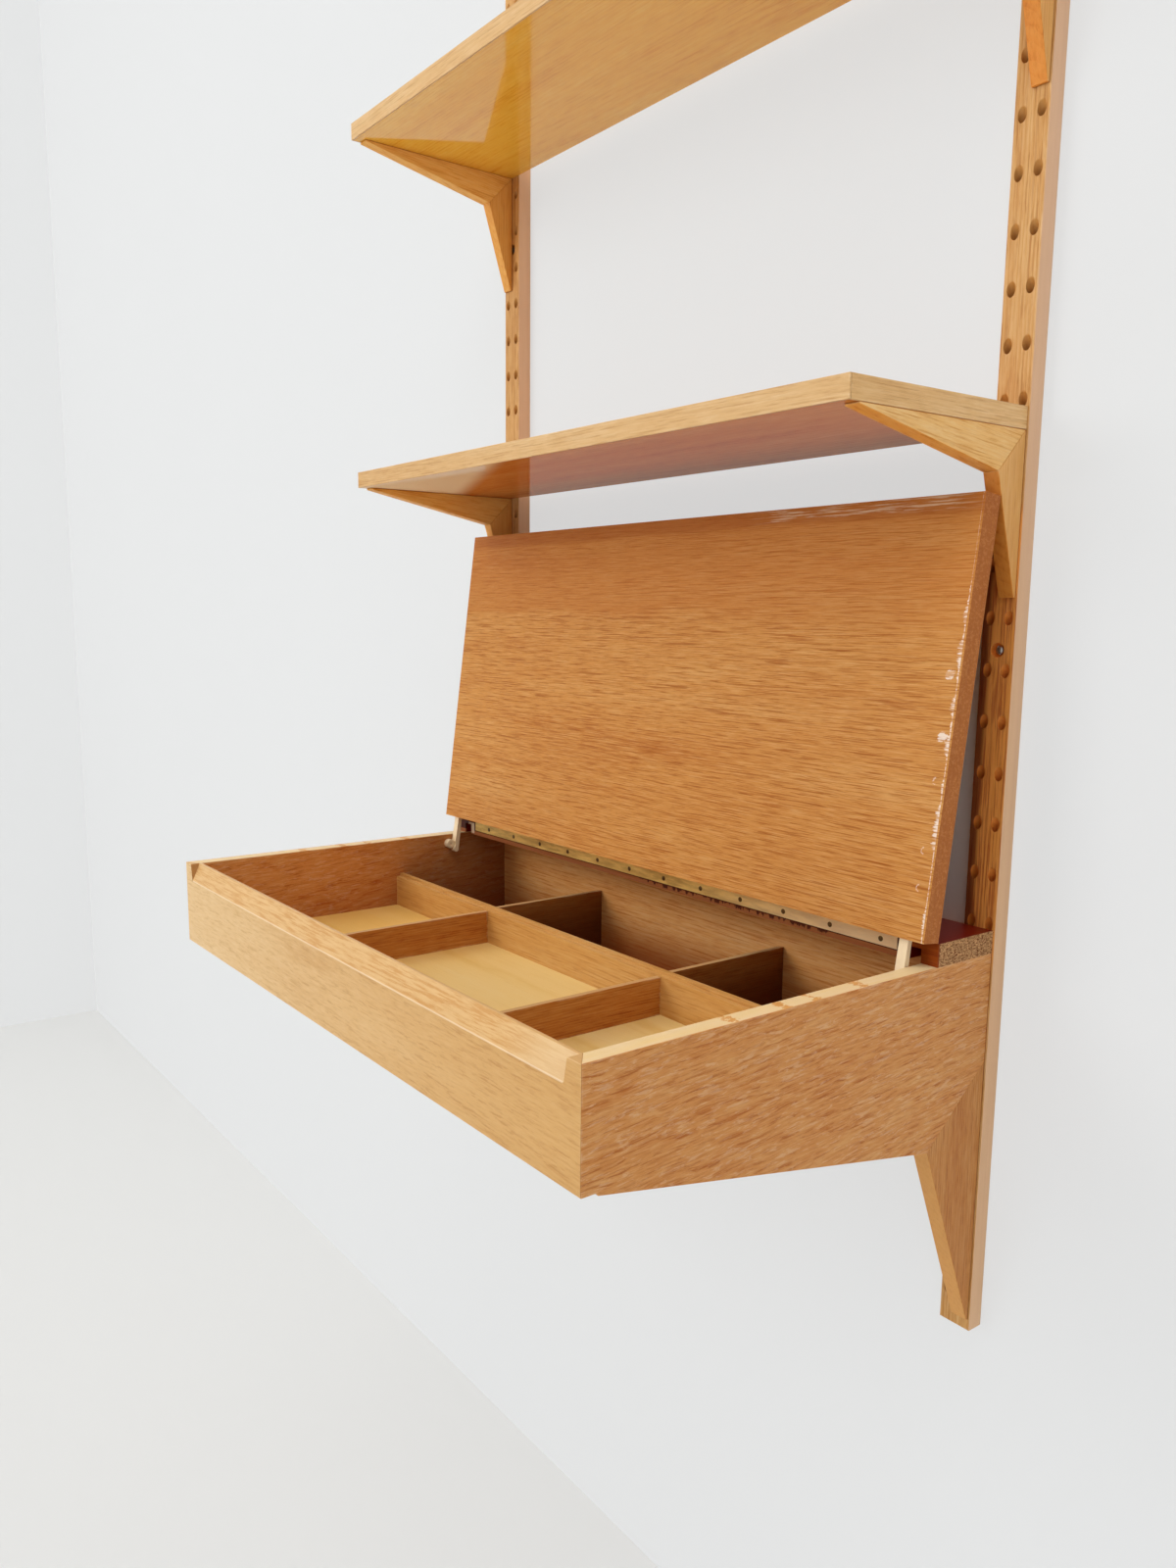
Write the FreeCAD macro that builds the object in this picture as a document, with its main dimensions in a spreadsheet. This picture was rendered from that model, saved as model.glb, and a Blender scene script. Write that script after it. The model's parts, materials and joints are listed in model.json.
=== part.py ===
import FreeCAD, Part
import os
import re
import Sketcher

# Wall-mounted shelving unit with a drop-lid desk box, in millimetres.
# X runs along the wall from the middle of the unit, the wall is Y = 0 with the
# room at negative Y, and Z points up from the middle of the four outer wall screws.

SIZES = {
    # Wall rails, with two columns of peg holes at a downward slant, each hole with a few flat sides
    "rail_width": 33,
    "rail_depth": 18.5,
    "rail_overhang": 2,
    "row_count": 34,
    "row_pitch": 45.65,
    "row_margin": 33,
    "column_spacing": 18,
    "peg_hole_diameter": 8.2,
    "peg_hole_depth": 13,
    "peg_slant": 51,
    "hole_sides": 8,
    # Wall screws: through holes with a round recess, placed in row pitches above the first row
    "screw_hole_diameter": 5,
    "recess_diameter": 13,
    "recess_depth": 5,
    "low_screw_share": 2.5,
    "middle_screw_share": 13.38,
    "high_screw_share": 24.5,
    # Slanted wooden pegs
    "peg_diameter": 7.8,
    "peg_fit": 0.1,
    "peg_in_rail": 12,
    "peg_in_leg": 7,
    # Shelves
    "unit_width": 800,
    "shelf_depth": 225,
    "shelf_thickness": 19,
    "edging": 2,
    "middle_shelf_row_count": 17,
    "top_shelf_row_count": 26,
    # Shelf brackets: an arm and a leg, mitred at the knee
    "bracket_thickness": 15,
    "arm_over_peg": 20.15,
    "arm_setback": 12,
    "arm_tip": 2,
    "knee_reach": 36,
    "knee_drop": 36.7,
    "leg_tip": 3,
    "leg_under_peg": 28.75,
    "peg_row_count": 2,
    # Desk box
    "box_depth": 464.3,
    "side_thickness": 17,
    "front_thickness": 14,
    "front_height": 97,
    "desk_row_count": 7,
    "desk_over_row": 19.45,
    "step_setback": 13.5,
    "step_run": 2,
    "step_drop": 2.3,
    "desk_knee_reach": 78.5,
    "desk_knee_drop": 171,
    "desk_leg_drop": 361,
    "desk_leg_tip": 2.5,
    "desk_mitre_drop": 102,
    "high_peg_row_count": 6,
    "low_peg_row_count": 1,
    # Stopped chamfer in the front panel, for the fingers
    "grip_width": 10.5,
    "grip_height": 20,
    "grip_end": 17,
    "grip_taper": 4,
    # Inside the box
    "back_thickness": 15,
    "bottom_thickness": 6,
    "bottom_inset": 2.5,
    "floor_rise": 8.3,
    "floor_thickness": 5,
    "long_divider_reach": 187.8,
    "long_divider_thickness": 11.3,
    "long_divider_drop": 46,
    "ledge_width": 5.3,
    "ledge_drop": 3.7,
    "divider_thickness": 6,
    "divider_offset": 158,
    "front_divider_drop": 50.2,
    "rear_divider_drop": 48,
    # Fixed rear board, with slots that take the stay arms when the lid is down
    "rear_board_depth": 79.4,
    "rear_board_thickness": 21,
    "lipping": 1.8,
    "slot_width": 15,
    "slot_wall": 0.5,
    "slot_depth": 51,
    "slot_roof": 8,
    # Lid, standing open
    "lid_length": 382,
    "lid_thickness": 20.4,
    "lid_headroom": 12,
    "open_angle": 97.45,
    # Piano hinge
    "hinge_length": 713,
    "hinge_gap": 0.7,
    "hinge_rise": 0.2,
    "leaf_height": 15,
    "leaf_thickness": 1,
    "knuckle_radius": 1.9,
    "knuckle_pair_count": 6,
    "knuckle_clearance": 0.3,
    "pin_radius": 0.95,
    "pin_clearance": 0.05,
    # Stay arms on the lid and the stop pegs that hold them
    "stay_width": 9.5,
    "stay_side_gap": 1.5,
    "stay_depth": 11.5,
    "stay_thickness": 5,
    "stay_tip_thickness": 6.6,
    "stay_reach": 48,
    "stay_mortise": 25,
    "stay_fit": 0.1,
    "stop_diameter": 12,
    "stop_length": 8,
    "stop_front": 27.4,
    "stop_drop": 33.9,
    "seat_clearance": 0.3,
}

# Sizes that follow from the ones above
FORMULAS = {
    "half_width": "unit_width / 2",
    "rail_spread": "unit_width + 2 * rail_overhang - rail_width",
    "half_hinge": "hinge_length / 2",
    "origin_height": "row_margin + (low_screw_share + high_screw_share) / 2 * row_pitch",
    "rail_height": "2 * row_margin + (row_count - 1) * row_pitch",
    "desk_top": "row_margin + desk_row_count * row_pitch + desk_over_row",
    "box_front": "rail_depth + box_depth",
    "inner_half": "half_width - side_thickness",
    "front_inside": "box_front - front_thickness",
    "back_inside": "rail_depth + back_thickness",
    "low_edge_y": "box_front - step_setback - step_run",
    "low_edge_drop": "front_height + step_drop",
    "desk_knee_y": "rail_depth + desk_knee_reach",
    "low_slope": "(desk_knee_drop - low_edge_drop) / (low_edge_y - desk_knee_y)",
    "bottom_rise": "bottom_thickness * sqrt(1 + low_slope ^ 2)",
    "floor_drop": "front_height - floor_rise",
    "floor_under": "floor_drop + floor_thickness",
    "divider_front": "rail_depth + long_divider_reach",
    "divider_back": "divider_front - long_divider_thickness",
    "rear_board_front": "rail_depth + rear_board_depth",
    "axis_y": "rear_board_front + hinge_gap",
    "axis_height": "desk_top + rear_board_thickness + hinge_rise",
    "lid_reach": "axis_height + hinge_gap + lid_length + lid_headroom",
    "row_over_lid": "ceil((lid_reach + knee_drop - arm_over_peg - row_margin) / row_pitch)",
    "middle_row": "max(middle_shelf_row_count; row_over_lid)",
    "leaf_top": "knuckle_radius + knuckle_clearance",
    "rebate": "leaf_top - hinge_gap",
    "segment": "half_hinge / knuckle_pair_count",
    "slot_inner": "inner_half - slot_wall - slot_width",
    "stay_inner": "inner_half - stay_side_gap - stay_width",
    "stay_tip_radius": "stay_tip_thickness / 2",
    "seat_radius": "stop_diameter / 2 + seat_clearance",
    "seat_y": "stop_drop * sin(open_angle) - stop_front * cos(open_angle)",
    "seat_z": "-stop_front * sin(open_angle) - stop_drop * cos(open_angle)",
    "hole_corner": "peg_hole_diameter / 2 / cos(180 / hole_sides)",
    "bore_corner": "(peg_diameter / 2 + peg_fit) / cos(180 / hole_sides)",
}

PLANES = {"yz": "YZ_Plane", "xz": "XZ_Plane", "xy": "XY_Plane"}
SIDES = {"left": -1, "right": 1}

doc = FreeCAD.newDocument("ShelvingUnitWithDesk")
sheet = doc.addObject("Spreadsheet::Sheet", "Sizes")
pieces = []


def fill_sheet():
    """Write every driving size into a cell of its own and name the cell after it."""
    for line, (name, size) in enumerate(SIZES.items(), start=1):
        sheet.set(f"A{line}", name)
        sheet.set(f"B{line}", str(size))
        sheet.setAlias(f"B{line}", name)
    doc.recompute()


def bound(formula):
    """The formula with each name pointed at its cell, or opened up where it stands for another formula."""
    def cell(match):
        name = match[0]
        if name in FORMULAS:
            return f"({bound(FORMULAS[name])})"
        return f"Sizes.{name}" if name in SIZES else name
    return re.sub(r"[a-z][a-z_]*", cell, formula)


def value(formula):
    """The formula's present value."""
    return float(sheet.evalExpression(bound(formula)))


def bind(thing, **formulas):
    """Tie the object's properties to formulas of the sheet's sizes."""
    for name, formula in formulas.items():
        thing.setExpression(name, bound(formula))


def place(thing, x="0", y="0", z="0", turn=None, about=(1, 0, 0)):
    """Put the object at a place, and turn it about an axis, both tied to the sheet."""
    if turn is not None:
        thing.Placement = FreeCAD.Placement(
            FreeCAD.Vector(), FreeCAD.Rotation(FreeCAD.Vector(*about), value(turn))
        )
        thing.setExpression("Placement.Rotation.Angle", bound(turn))
    thing.setExpression("Placement.Base.x", bound(x))
    thing.setExpression("Placement.Base.y", bound(y))
    thing.setExpression("Placement.Base.z", bound(z))


def piece(thing, label):
    """Count the object as a finished sub-part under its own name."""
    thing.Label = label
    pieces.append(thing)
    return thing


def box(x, y, z, length, width, height):
    """A plain block from its low corner, every size a formula."""
    block = doc.addObject("Part::Box", "Block")
    bind(block, Length=length, Width=width, Height=height)
    place(block, x, y, z)
    return block


def cylinder(radius, height, x="0", y="0", z="0", turn="0", about=(1, 0, 0)):
    """A round bar from the middle of its low end."""
    bar = doc.addObject("Part::Cylinder", "Bar")
    bind(bar, Radius=radius, Height=height)
    place(bar, x, y, z, turn, about)
    return bar


def cut(base, tools):
    """The base without what the tools take away."""
    tool = tools[0]
    if len(tools) > 1:
        tool = doc.addObject("Part::MultiFuse", "Tools")
        tool.Shapes = tools
    result = doc.addObject("Part::Cut", "Shaped")
    result.Base = base
    result.Tool = tool
    return result


def sketch_on(body, plane, offset=None):
    """An empty sketch on one of the body's own origin planes, or parallel to it."""
    sketch = body.newObject("Sketcher::SketchObject", "Outline")
    role = PLANES[plane]
    origin_plane = [f for f in body.Origin.OriginFeatures if f.Role == role][0]
    sketch.AttachmentSupport = [(origin_plane, "")]
    sketch.MapMode = "FlatFace"
    if offset is not None:
        sketch.setExpression("AttachmentOffset.Base.z", bound(offset))
    return sketch


def hold(sketch, geometry, point, x, y):
    """Tie one point of the sketch's geometry to formulas for its two directions."""
    for kind, axis, formula in (("DistanceX", -2, x), ("DistanceY", -1, y)):
        if formula == "0":
            sketch.addConstraint(Sketcher.Constraint("PointOnObject", geometry, point, axis))
            continue
        rule = Sketcher.Constraint(kind, -1, 1, geometry, point, value(formula))
        index = sketch.addConstraint(rule)
        sketch.setExpression(f"Constraints[{index}]", bound(formula))


def closed_outline(sketch, corners):
    """Straight edges from corner to corner and back to the first, each corner tied to the sheet."""
    spots = [FreeCAD.Vector(value(x), value(y), 0) for x, y in corners]
    count = len(spots)
    for i, spot in enumerate(spots):
        sketch.addGeometry(Part.LineSegment(spot, spots[(i + 1) % count]))
    for i in range(count):
        sketch.addConstraint(Sketcher.Constraint("Coincident", i, 2, (i + 1) % count, 1))
    for i, (x, y) in enumerate(corners):
        hold(sketch, i, 1, x, y)


def circles(sketch, diameter, centres):
    """Round outlines of one diameter, each centre tied to the sheet."""
    for x, y in centres:
        middle = FreeCAD.Vector(value(x), value(y), 0)
        ring = Part.Circle(middle, FreeCAD.Vector(0, 0, 1), value(diameter) / 2)
        index = sketch.addGeometry(ring)
        hold(sketch, index, 3, x, y)
        rule = sketch.addConstraint(Sketcher.Constraint("Diameter", index, value(diameter)))
        sketch.setExpression(f"Constraints[{rule}]", bound(diameter))


def padded(plane, corners, length, label):
    """A body that is one outline drawn out square to its plane."""
    body = doc.addObject("PartDesign::Body", "Body")
    sketch = sketch_on(body, plane)
    closed_outline(sketch, corners)
    pad = body.newObject("PartDesign::Pad", "Pad")
    pad.Profile = sketch
    bind(pad, Length=length)
    return piece(body, label)


def pocket(body, sketch, depth=None):
    """Cut the sketch into the body, to a depth or all the way through."""
    feature = body.newObject("PartDesign::Pocket", "Pocket")
    feature.Profile = sketch
    if depth is None:
        feature.Type = "ThroughAll"
        feature.Midplane = True
    else:
        bind(feature, Length=depth)
    return feature


def bored(body, radius, length, x, y, z):
    """Take a round bar that lies along X out of the body."""
    bore = body.newObject("PartDesign::SubtractiveCylinder", "Bore")
    bind(bore, Radius=radius, Height=length)
    place(bore, x, y, z, "90", (0, 1, 0))
    return bore


def pattern(body, feature, role, spacing, count):
    """Repeat a feature of the body in a row along one of its own axes."""
    row = body.newObject("PartDesign::LinearPattern", "Row")
    row.Originals = [feature]
    axis = [f for f in body.Origin.OriginFeatures if f.Role == role][0]
    row.Direction = (axis, [""])
    bind(row, Length=f"({spacing}) * (({count}) - 1)", Occurrences=count)
    body.Tip = row
    return row


def rail(side, sign):
    """A wall rail with its wall screw holes and two columns of slanted blind peg holes."""
    half = "rail_width / 2"
    corners = [(f"-{half}", "0"), (half, "0"), (half, "-rail_depth"), (f"-{half}", "-rail_depth")]
    body = padded("xy", corners, "rail_height", f"rail_{side}")
    heights = [
        f"row_margin + {share} * row_pitch"
        for share in ("low_screw_share", "middle_screw_share", "high_screw_share")
    ]
    holes = sketch_on(body, "xz")
    circles(holes, "screw_hole_diameter", [("0", height) for height in heights])
    pocket(body, holes)
    recesses = sketch_on(body, "xz", "rail_depth")
    circles(recesses, "recess_diameter", [("0", height) for height in heights])
    pocket(body, recesses, "recess_depth")
    for column in ("-column_spacing / 2", "column_spacing / 2"):
        # The hole starts at its blind end and comes up and out through the front face
        hole = body.newObject("PartDesign::SubtractivePrism", "PegHole")
        length = "(peg_hole_depth + peg_hole_diameter) / cos(peg_slant)"
        bind(hole, Polygon="hole_sides", Circumradius="hole_corner", Height=length)
        foot = "row_margin - peg_hole_depth * tan(peg_slant)"
        place(hole, column, "peg_hole_depth - rail_depth", foot, "90 - peg_slant")
        pattern(body, hole, "Z_Axis", "row_pitch", "row_count")
    place(body, f"{sign} * rail_spread / 2", "0", "-origin_height")


def peg_x(sign):
    """Across the unit, where the outer column of peg holes runs."""
    return f"{sign} * (rail_spread + column_spacing) / 2"


def row_height(row):
    """Above the rail's foot, where a row of peg holes opens on the front face."""
    return f"(row_margin + ({row}) * row_pitch)"


def peg(label, sign, row):
    """A wooden peg on the slant of the peg holes, part in the rail and part in a leg."""
    bar = cylinder(
        "peg_diameter / 2",
        "(peg_in_rail + peg_in_leg) / cos(peg_slant)",
        peg_x(sign),
        "peg_in_rail - rail_depth",
        f"{row_height(row)} - peg_in_rail * tan(peg_slant) - origin_height",
        "90 - peg_slant",
    )
    piece(bar, label)


def leg_bore(sign, row):
    """The blind bore in a leg that holds a peg; it starts a bore's width inside the rail."""
    bore = doc.addObject("Part::Prism", "LegBore")
    length = "(peg_diameter + peg_in_leg + peg_fit) / cos(peg_slant)"
    bind(bore, Polygon="hole_sides", Circumradius="bore_corner", Height=length)
    foot = f"{row_height(row)} - peg_diameter * tan(peg_slant) - origin_height"
    place(bore, peg_x(sign), "peg_diameter - rail_depth", foot, "90 - peg_slant")
    return bore


def side_plate(corners, sign, outer, thickness):
    """An upright plate whose outline is seen from the side, with its outer face at the given distance."""
    body = doc.addObject("PartDesign::Body", "Plate")
    sketch = sketch_on(body, "yz")
    closed_outline(sketch, corners)
    pad = body.newObject("PartDesign::Pad", "Pad")
    pad.Profile = sketch
    bind(pad, Length=thickness)
    place(body, f"{outer} - {thickness}" if sign > 0 else f"-({outer})")
    return body


def bracket(level, row, side, sign):
    """A shelf bracket of two tapered pieces mitred from the knee to the rail, and its two pegs."""
    top = f"row_margin + {row} * row_pitch + arm_over_peg - origin_height"
    low_row = f"{row} - peg_row_count"
    knee = ("-rail_depth - knee_reach", f"{top} - knee_drop")
    corner = ("-rail_depth", top)
    tip_y = "arm_setback - rail_depth - shelf_depth"
    arm = [corner, (tip_y, top), (tip_y, f"{top} - arm_tip"), knee]
    piece(side_plate(arm, sign, "half_width", "bracket_thickness"), f"bracket_arm_{level}_{side}")
    foot = f"row_margin + ({low_row}) * row_pitch - leg_under_peg - origin_height"
    leg = [corner, knee, ("-rail_depth - leg_tip", foot), ("-rail_depth", foot)]
    plate = side_plate(leg, sign, "half_width", "bracket_thickness")
    bores = [leg_bore(sign, row), leg_bore(sign, low_row)]
    piece(cut(plate, bores), f"bracket_leg_{level}_{side}")
    peg(f"peg_upper_{level}_{side}", sign, row)
    peg(f"peg_lower_{level}_{side}", sign, low_row)


def shelf(level, row):
    """A shelf board on its brackets, with a strip of solid wood along its front and both ends."""
    under = f"row_margin + {row} * row_pitch + arm_over_peg - origin_height"
    front = "-rail_depth - shelf_depth"
    inner = "half_width - edging"
    depth = "shelf_depth - edging"
    core = box(f"-({inner})", f"{front} + edging", under, f"2 * ({inner})", depth, "shelf_thickness")
    piece(core, f"shelf_{level}")
    strip = box("-half_width", front, under, "unit_width", "edging", "shelf_thickness")
    piece(strip, f"shelf_front_edging_{level}")
    for side, x in (("left", "-half_width"), ("right", inner)):
        end = box(x, f"{front} + edging", under, "edging", depth, "shelf_thickness")
        piece(end, f"shelf_end_edging_{level}_{side}")


def desk_height(drop="0"):
    """A height in the model, given how far it lies under the top of the desk box."""
    return f"desk_top - {drop} - origin_height"


def bottom_under(y):
    """Drop of the sloping bottom's underside, at a distance from the wall."""
    return f"(low_edge_drop + low_slope * (low_edge_y - ({y})) - bottom_inset)"


def bottom_top(y):
    """Drop of the sloping bottom's upper face, at a distance from the wall."""
    return f"({bottom_under(y)} - bottom_rise)"


def desk_side(side, sign):
    """A side of the box: a board mitred to the front panel, and the leg under it, mitred at the knee."""
    mitre = ("-rail_depth", desk_height("desk_mitre_drop"))
    knee = ("-desk_knee_y", desk_height("desk_knee_drop"))
    board = [
        ("-rail_depth", desk_height()),
        ("-box_front", desk_height()),
        ("-box_front", desk_height("front_height")),
        ("step_setback - box_front", desk_height("front_height")),
        ("-low_edge_y", desk_height("low_edge_drop")),
        knee,
        mitre,
    ]
    body = side_plate(board, sign, "half_width", "side_thickness")
    corner = sketch_on(body, "xy")
    inner, outer = ("0", "side_thickness") if sign > 0 else ("side_thickness", "0")
    closed_outline(corner, [(inner, "-box_front"), (outer, "-box_front"), (inner, "-front_inside")])
    pocket(body, corner)
    bore = leg_bore(sign, "high_peg_row_count")
    piece(cut(body, [bore]), f"desk_side_{side}")
    foot = desk_height("desk_leg_drop")
    leg = [mitre, knee, ("-rail_depth - desk_leg_tip", foot), ("-rail_depth", foot)]
    plate = side_plate(leg, sign, "half_width", "side_thickness")
    piece(cut(plate, [leg_bore(sign, "low_peg_row_count")]), f"desk_leg_{side}")
    peg(f"peg_upper_desk_{side}", sign, "high_peg_row_count")
    peg(f"peg_lower_desk_{side}", sign, "low_peg_row_count")


def front_panel():
    """The front of the box, mitred at both ends, with a stopped chamfer along its top for the fingers."""
    corners = [
        ("-half_width", "-box_front"),
        ("half_width", "-box_front"),
        ("inner_half", "-front_inside"),
        ("-inner_half", "-front_inside"),
    ]
    body = doc.addObject("PartDesign::Body", "Panel")
    closed_outline(sketch_on(body, "xy"), corners)
    pad = body.newObject("PartDesign::Pad", "Pad")
    pad.Profile = body.Group[0]
    bind(pad, Length="front_height")
    place(body, "0", "0", desk_height("front_height"))
    # The wedge hangs from the top edge and narrows to a line at the foot of the chamfer
    grip = doc.addObject("Part::Wedge", "Grip")
    top_half = "half_width - grip_end"
    low_half = f"({top_half} - grip_taper)"
    bind(grip, Xmin=f"-({top_half})", Xmax=top_half, X2min=f"-{low_half}", X2max=low_half)
    bind(grip, Ymin="0", Ymax="grip_height", Zmin="0", Zmax="grip_width", Z2min="0", Z2max="0")
    place(grip, "0", "-box_front", desk_height(), "-90")
    piece(cut(body, [grip]), "front_panel")


def box_inside():
    """The back, the sloping bottom, the level front floor and the long divider."""
    inner_width = "2 * inner_half"
    foot = bottom_under("back_inside")
    back = box("-inner_half", "-back_inside", desk_height(foot), inner_width, "back_thickness", foot)
    piece(back, "back_panel")
    # Where the sloping bottom meets the level floor's underside
    meet = f"(low_edge_y - (floor_under + bottom_rise + bottom_inset - low_edge_drop) / low_slope)"
    bottom = [
        ("-front_inside", desk_height(bottom_under("front_inside"))),
        ("-back_inside", desk_height(bottom_under("back_inside"))),
        ("-back_inside", desk_height(bottom_top("back_inside"))),
        (f"-{meet}", desk_height("floor_under")),
        ("-front_inside", desk_height("floor_under")),
    ]
    place(padded("yz", bottom, inner_width, "bottom_panel"), "-inner_half")
    floor_depth = "front_inside - divider_front"
    under = desk_height("floor_under")
    floor = box("-inner_half", "-front_inside", under, inner_width, floor_depth, "floor_thickness")
    piece(floor, "front_floor")
    ledge = "ledge_width - divider_front"
    divider = [
        ("-divider_front", desk_height(bottom_top("divider_front"))),
        ("-divider_back", desk_height(bottom_top("divider_back"))),
        ("-divider_back", desk_height("long_divider_drop")),
        (ledge, desk_height("long_divider_drop")),
        (ledge, desk_height("(long_divider_drop + ledge_drop)")),
        ("-divider_front", desk_height("(long_divider_drop + ledge_drop)")),
    ]
    place(padded("yz", divider, inner_width, "long_divider"), "-inner_half")


def cross_dividers():
    """Two short dividers in front of the long one and two behind it."""
    for side, sign in SIDES.items():
        x = f"{sign} * divider_offset - divider_thickness / 2"
        front = box(
            x,
            "-front_inside",
            desk_height("floor_drop"),
            "divider_thickness",
            "front_inside - divider_front",
            "floor_drop - front_divider_drop",
        )
        piece(front, f"front_divider_{side}")
        rear = [
            ("-divider_back", desk_height(bottom_top("divider_back"))),
            ("-back_inside", desk_height(bottom_top("back_inside"))),
            ("-back_inside", desk_height("rear_divider_drop")),
            ("-divider_back", desk_height("rear_divider_drop")),
        ]
        place(padded("yz", rear, "divider_thickness", f"rear_divider_{side}"), x)


def stay_slots():
    """Two blocks that open the rear board for the stay arms, from its front and from below."""
    slots = []
    height = "rear_board_thickness - slot_roof"
    for x in ("slot_inner", "-slot_inner - slot_width"):
        slots.append(box(x, "-rear_board_front", desk_height(), "slot_width", "slot_depth", height))
    return slots


def rear_board():
    """The fixed board behind the lid and the strip along its front edge that takes the hinge leaf."""
    under = desk_height()
    core_depth = "rear_board_depth - lipping"
    core = box("-half_width", "-rail_depth - (" + core_depth + ")", under, "unit_width", core_depth,
               "rear_board_thickness")
    piece(cut(core, stay_slots()), "rear_board")
    strip = box("-half_width", "-rear_board_front", under, "unit_width", "lipping", "rear_board_thickness")
    start = "-half_hinge - knuckle_clearance"
    length = "hinge_length + 2 * knuckle_clearance"
    top = desk_height("(0 - rear_board_thickness)")
    mortise_height = "leaf_height - hinge_rise"
    mortise = box(start, "-rear_board_front", f"{top} - ({mortise_height})", length, "leaf_thickness",
                  mortise_height)
    rebate_height = "leaf_top - hinge_rise"
    rebate = box(start, "-rear_board_front", f"{top} - ({rebate_height})", length, "rebate", rebate_height)
    piece(cut(strip, stay_slots() + [mortise, rebate]), "rear_board_lipping")


def on_lid(thing, x="0"):
    """Stand a lid piece, modelled shut about the hinge axis, in its open place."""
    place(thing, x, "-axis_y", "axis_height - origin_height", "-open_angle")


def lid():
    """The lid's core with its edge strips, cut for the hinge leaf and for both stay arms."""
    inner = "half_width - edging"
    low = "-hinge_rise - lid_thickness"
    rear = "-hinge_gap"
    front = "-hinge_gap - lid_length"
    core_length = "lid_length - edging"
    core = box(f"-({inner})", f"{front} + edging", low, f"2 * ({inner})", core_length, "lid_thickness")
    start = "-half_hinge - knuckle_clearance"
    length = "hinge_length + 2 * knuckle_clearance"
    mortise = box(start, f"{rear} - leaf_thickness", "-leaf_height", length, "leaf_thickness",
                  "leaf_height - hinge_rise")
    rebate = box(start, f"{rear} - rebate", "-leaf_top", length, "rebate", "leaf_top - hinge_rise")
    tools = [mortise, rebate]
    stay_low = "-hinge_rise - stay_depth - stay_thickness - stay_fit"
    for x in ("stay_inner - stay_fit", "-stay_inner - stay_width - stay_fit"):
        tools.append(
            box(
                x,
                f"{rear} - stay_mortise - stay_fit",
                stay_low,
                "stay_width + 2 * stay_fit",
                "stay_mortise + stay_fit",
                "stay_thickness + 2 * stay_fit",
            )
        )
    core_piece = piece(cut(core, tools), "lid")
    on_lid(core_piece)
    strip = piece(doc.addObject("Part::Box", "Strip"), "lid_front_edging")
    bind(strip, Length="unit_width", Width="edging", Height="lid_thickness")
    stand_strip(strip, "-half_width", front, low)
    for side, x in (("left", "-half_width"), ("right", inner)):
        end = piece(doc.addObject("Part::Box", "Strip"), f"lid_end_edging_{side}")
        bind(end, Length="edging", Width=core_length, Height="lid_thickness")
        stand_strip(end, x, f"{front} + edging", low)


def stand_strip(strip, x, y, z):
    """Stand an edge strip of the lid in its open place, from the place of its low corner on the shut lid."""
    place(
        strip,
        x,
        f"-axis_y + ({y}) * cos(open_angle) + ({z}) * sin(open_angle)",
        f"axis_height - origin_height - ({y}) * sin(open_angle) + ({z}) * cos(open_angle)",
        "-open_angle",
    )


def hinge_leaf(label, sign, first):
    """A leaf of the piano hinge: a plate, every other knuckle and the neck that joins each one to it."""
    body = doc.addObject("PartDesign::Body", "Leaf")
    near = "hinge_gap" if sign > 0 else "-hinge_gap - leaf_thickness"
    far = f"{near} + leaf_thickness"
    plate = sketch_on(body, "yz")
    low, high = "-leaf_height", "-leaf_top"
    closed_outline(plate, [(near, low), (far, low), (far, high), (near, high)])
    pad = body.newObject("PartDesign::Pad", "Plate")
    pad.Profile = plate
    bind(pad, Length="hinge_length")
    start = f"{first} * segment + knuckle_clearance / 2"
    length = "segment - knuckle_clearance"
    neck = body.newObject("PartDesign::AdditiveBox", "Neck")
    bind(neck, Length=length, Width="leaf_thickness", Height="leaf_height")
    place(neck, start, near, "-leaf_height")
    pattern(body, neck, "X_Axis", "2 * segment", "knuckle_pair_count")
    knuckle = body.newObject("PartDesign::AdditiveCylinder", "Knuckle")
    bind(knuckle, Radius="knuckle_radius", Height=length)
    place(knuckle, start, "0", "0", "90", (0, 1, 0))
    pattern(body, knuckle, "X_Axis", "2 * segment", "knuckle_pair_count")
    bore = bored(body, "pin_radius + pin_clearance", "hinge_length", "0", "0", "0")
    body.Tip = bore
    return piece(body, label)


def hinge():
    """The piano hinge between the rear board and the lid."""
    fixed = hinge_leaf("hinge_leaf_fixed", 1, "0")
    place(fixed, "-half_hinge", "-axis_y", "axis_height - origin_height")
    moving = hinge_leaf("hinge_leaf_lid", -1, "1")
    on_lid(moving, "-half_hinge")
    pin = cylinder(
        "pin_radius", "hinge_length", "-half_hinge", "-axis_y", "axis_height - origin_height", "90", (0, 1, 0)
    )
    piece(pin, "hinge_pin")


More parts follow.
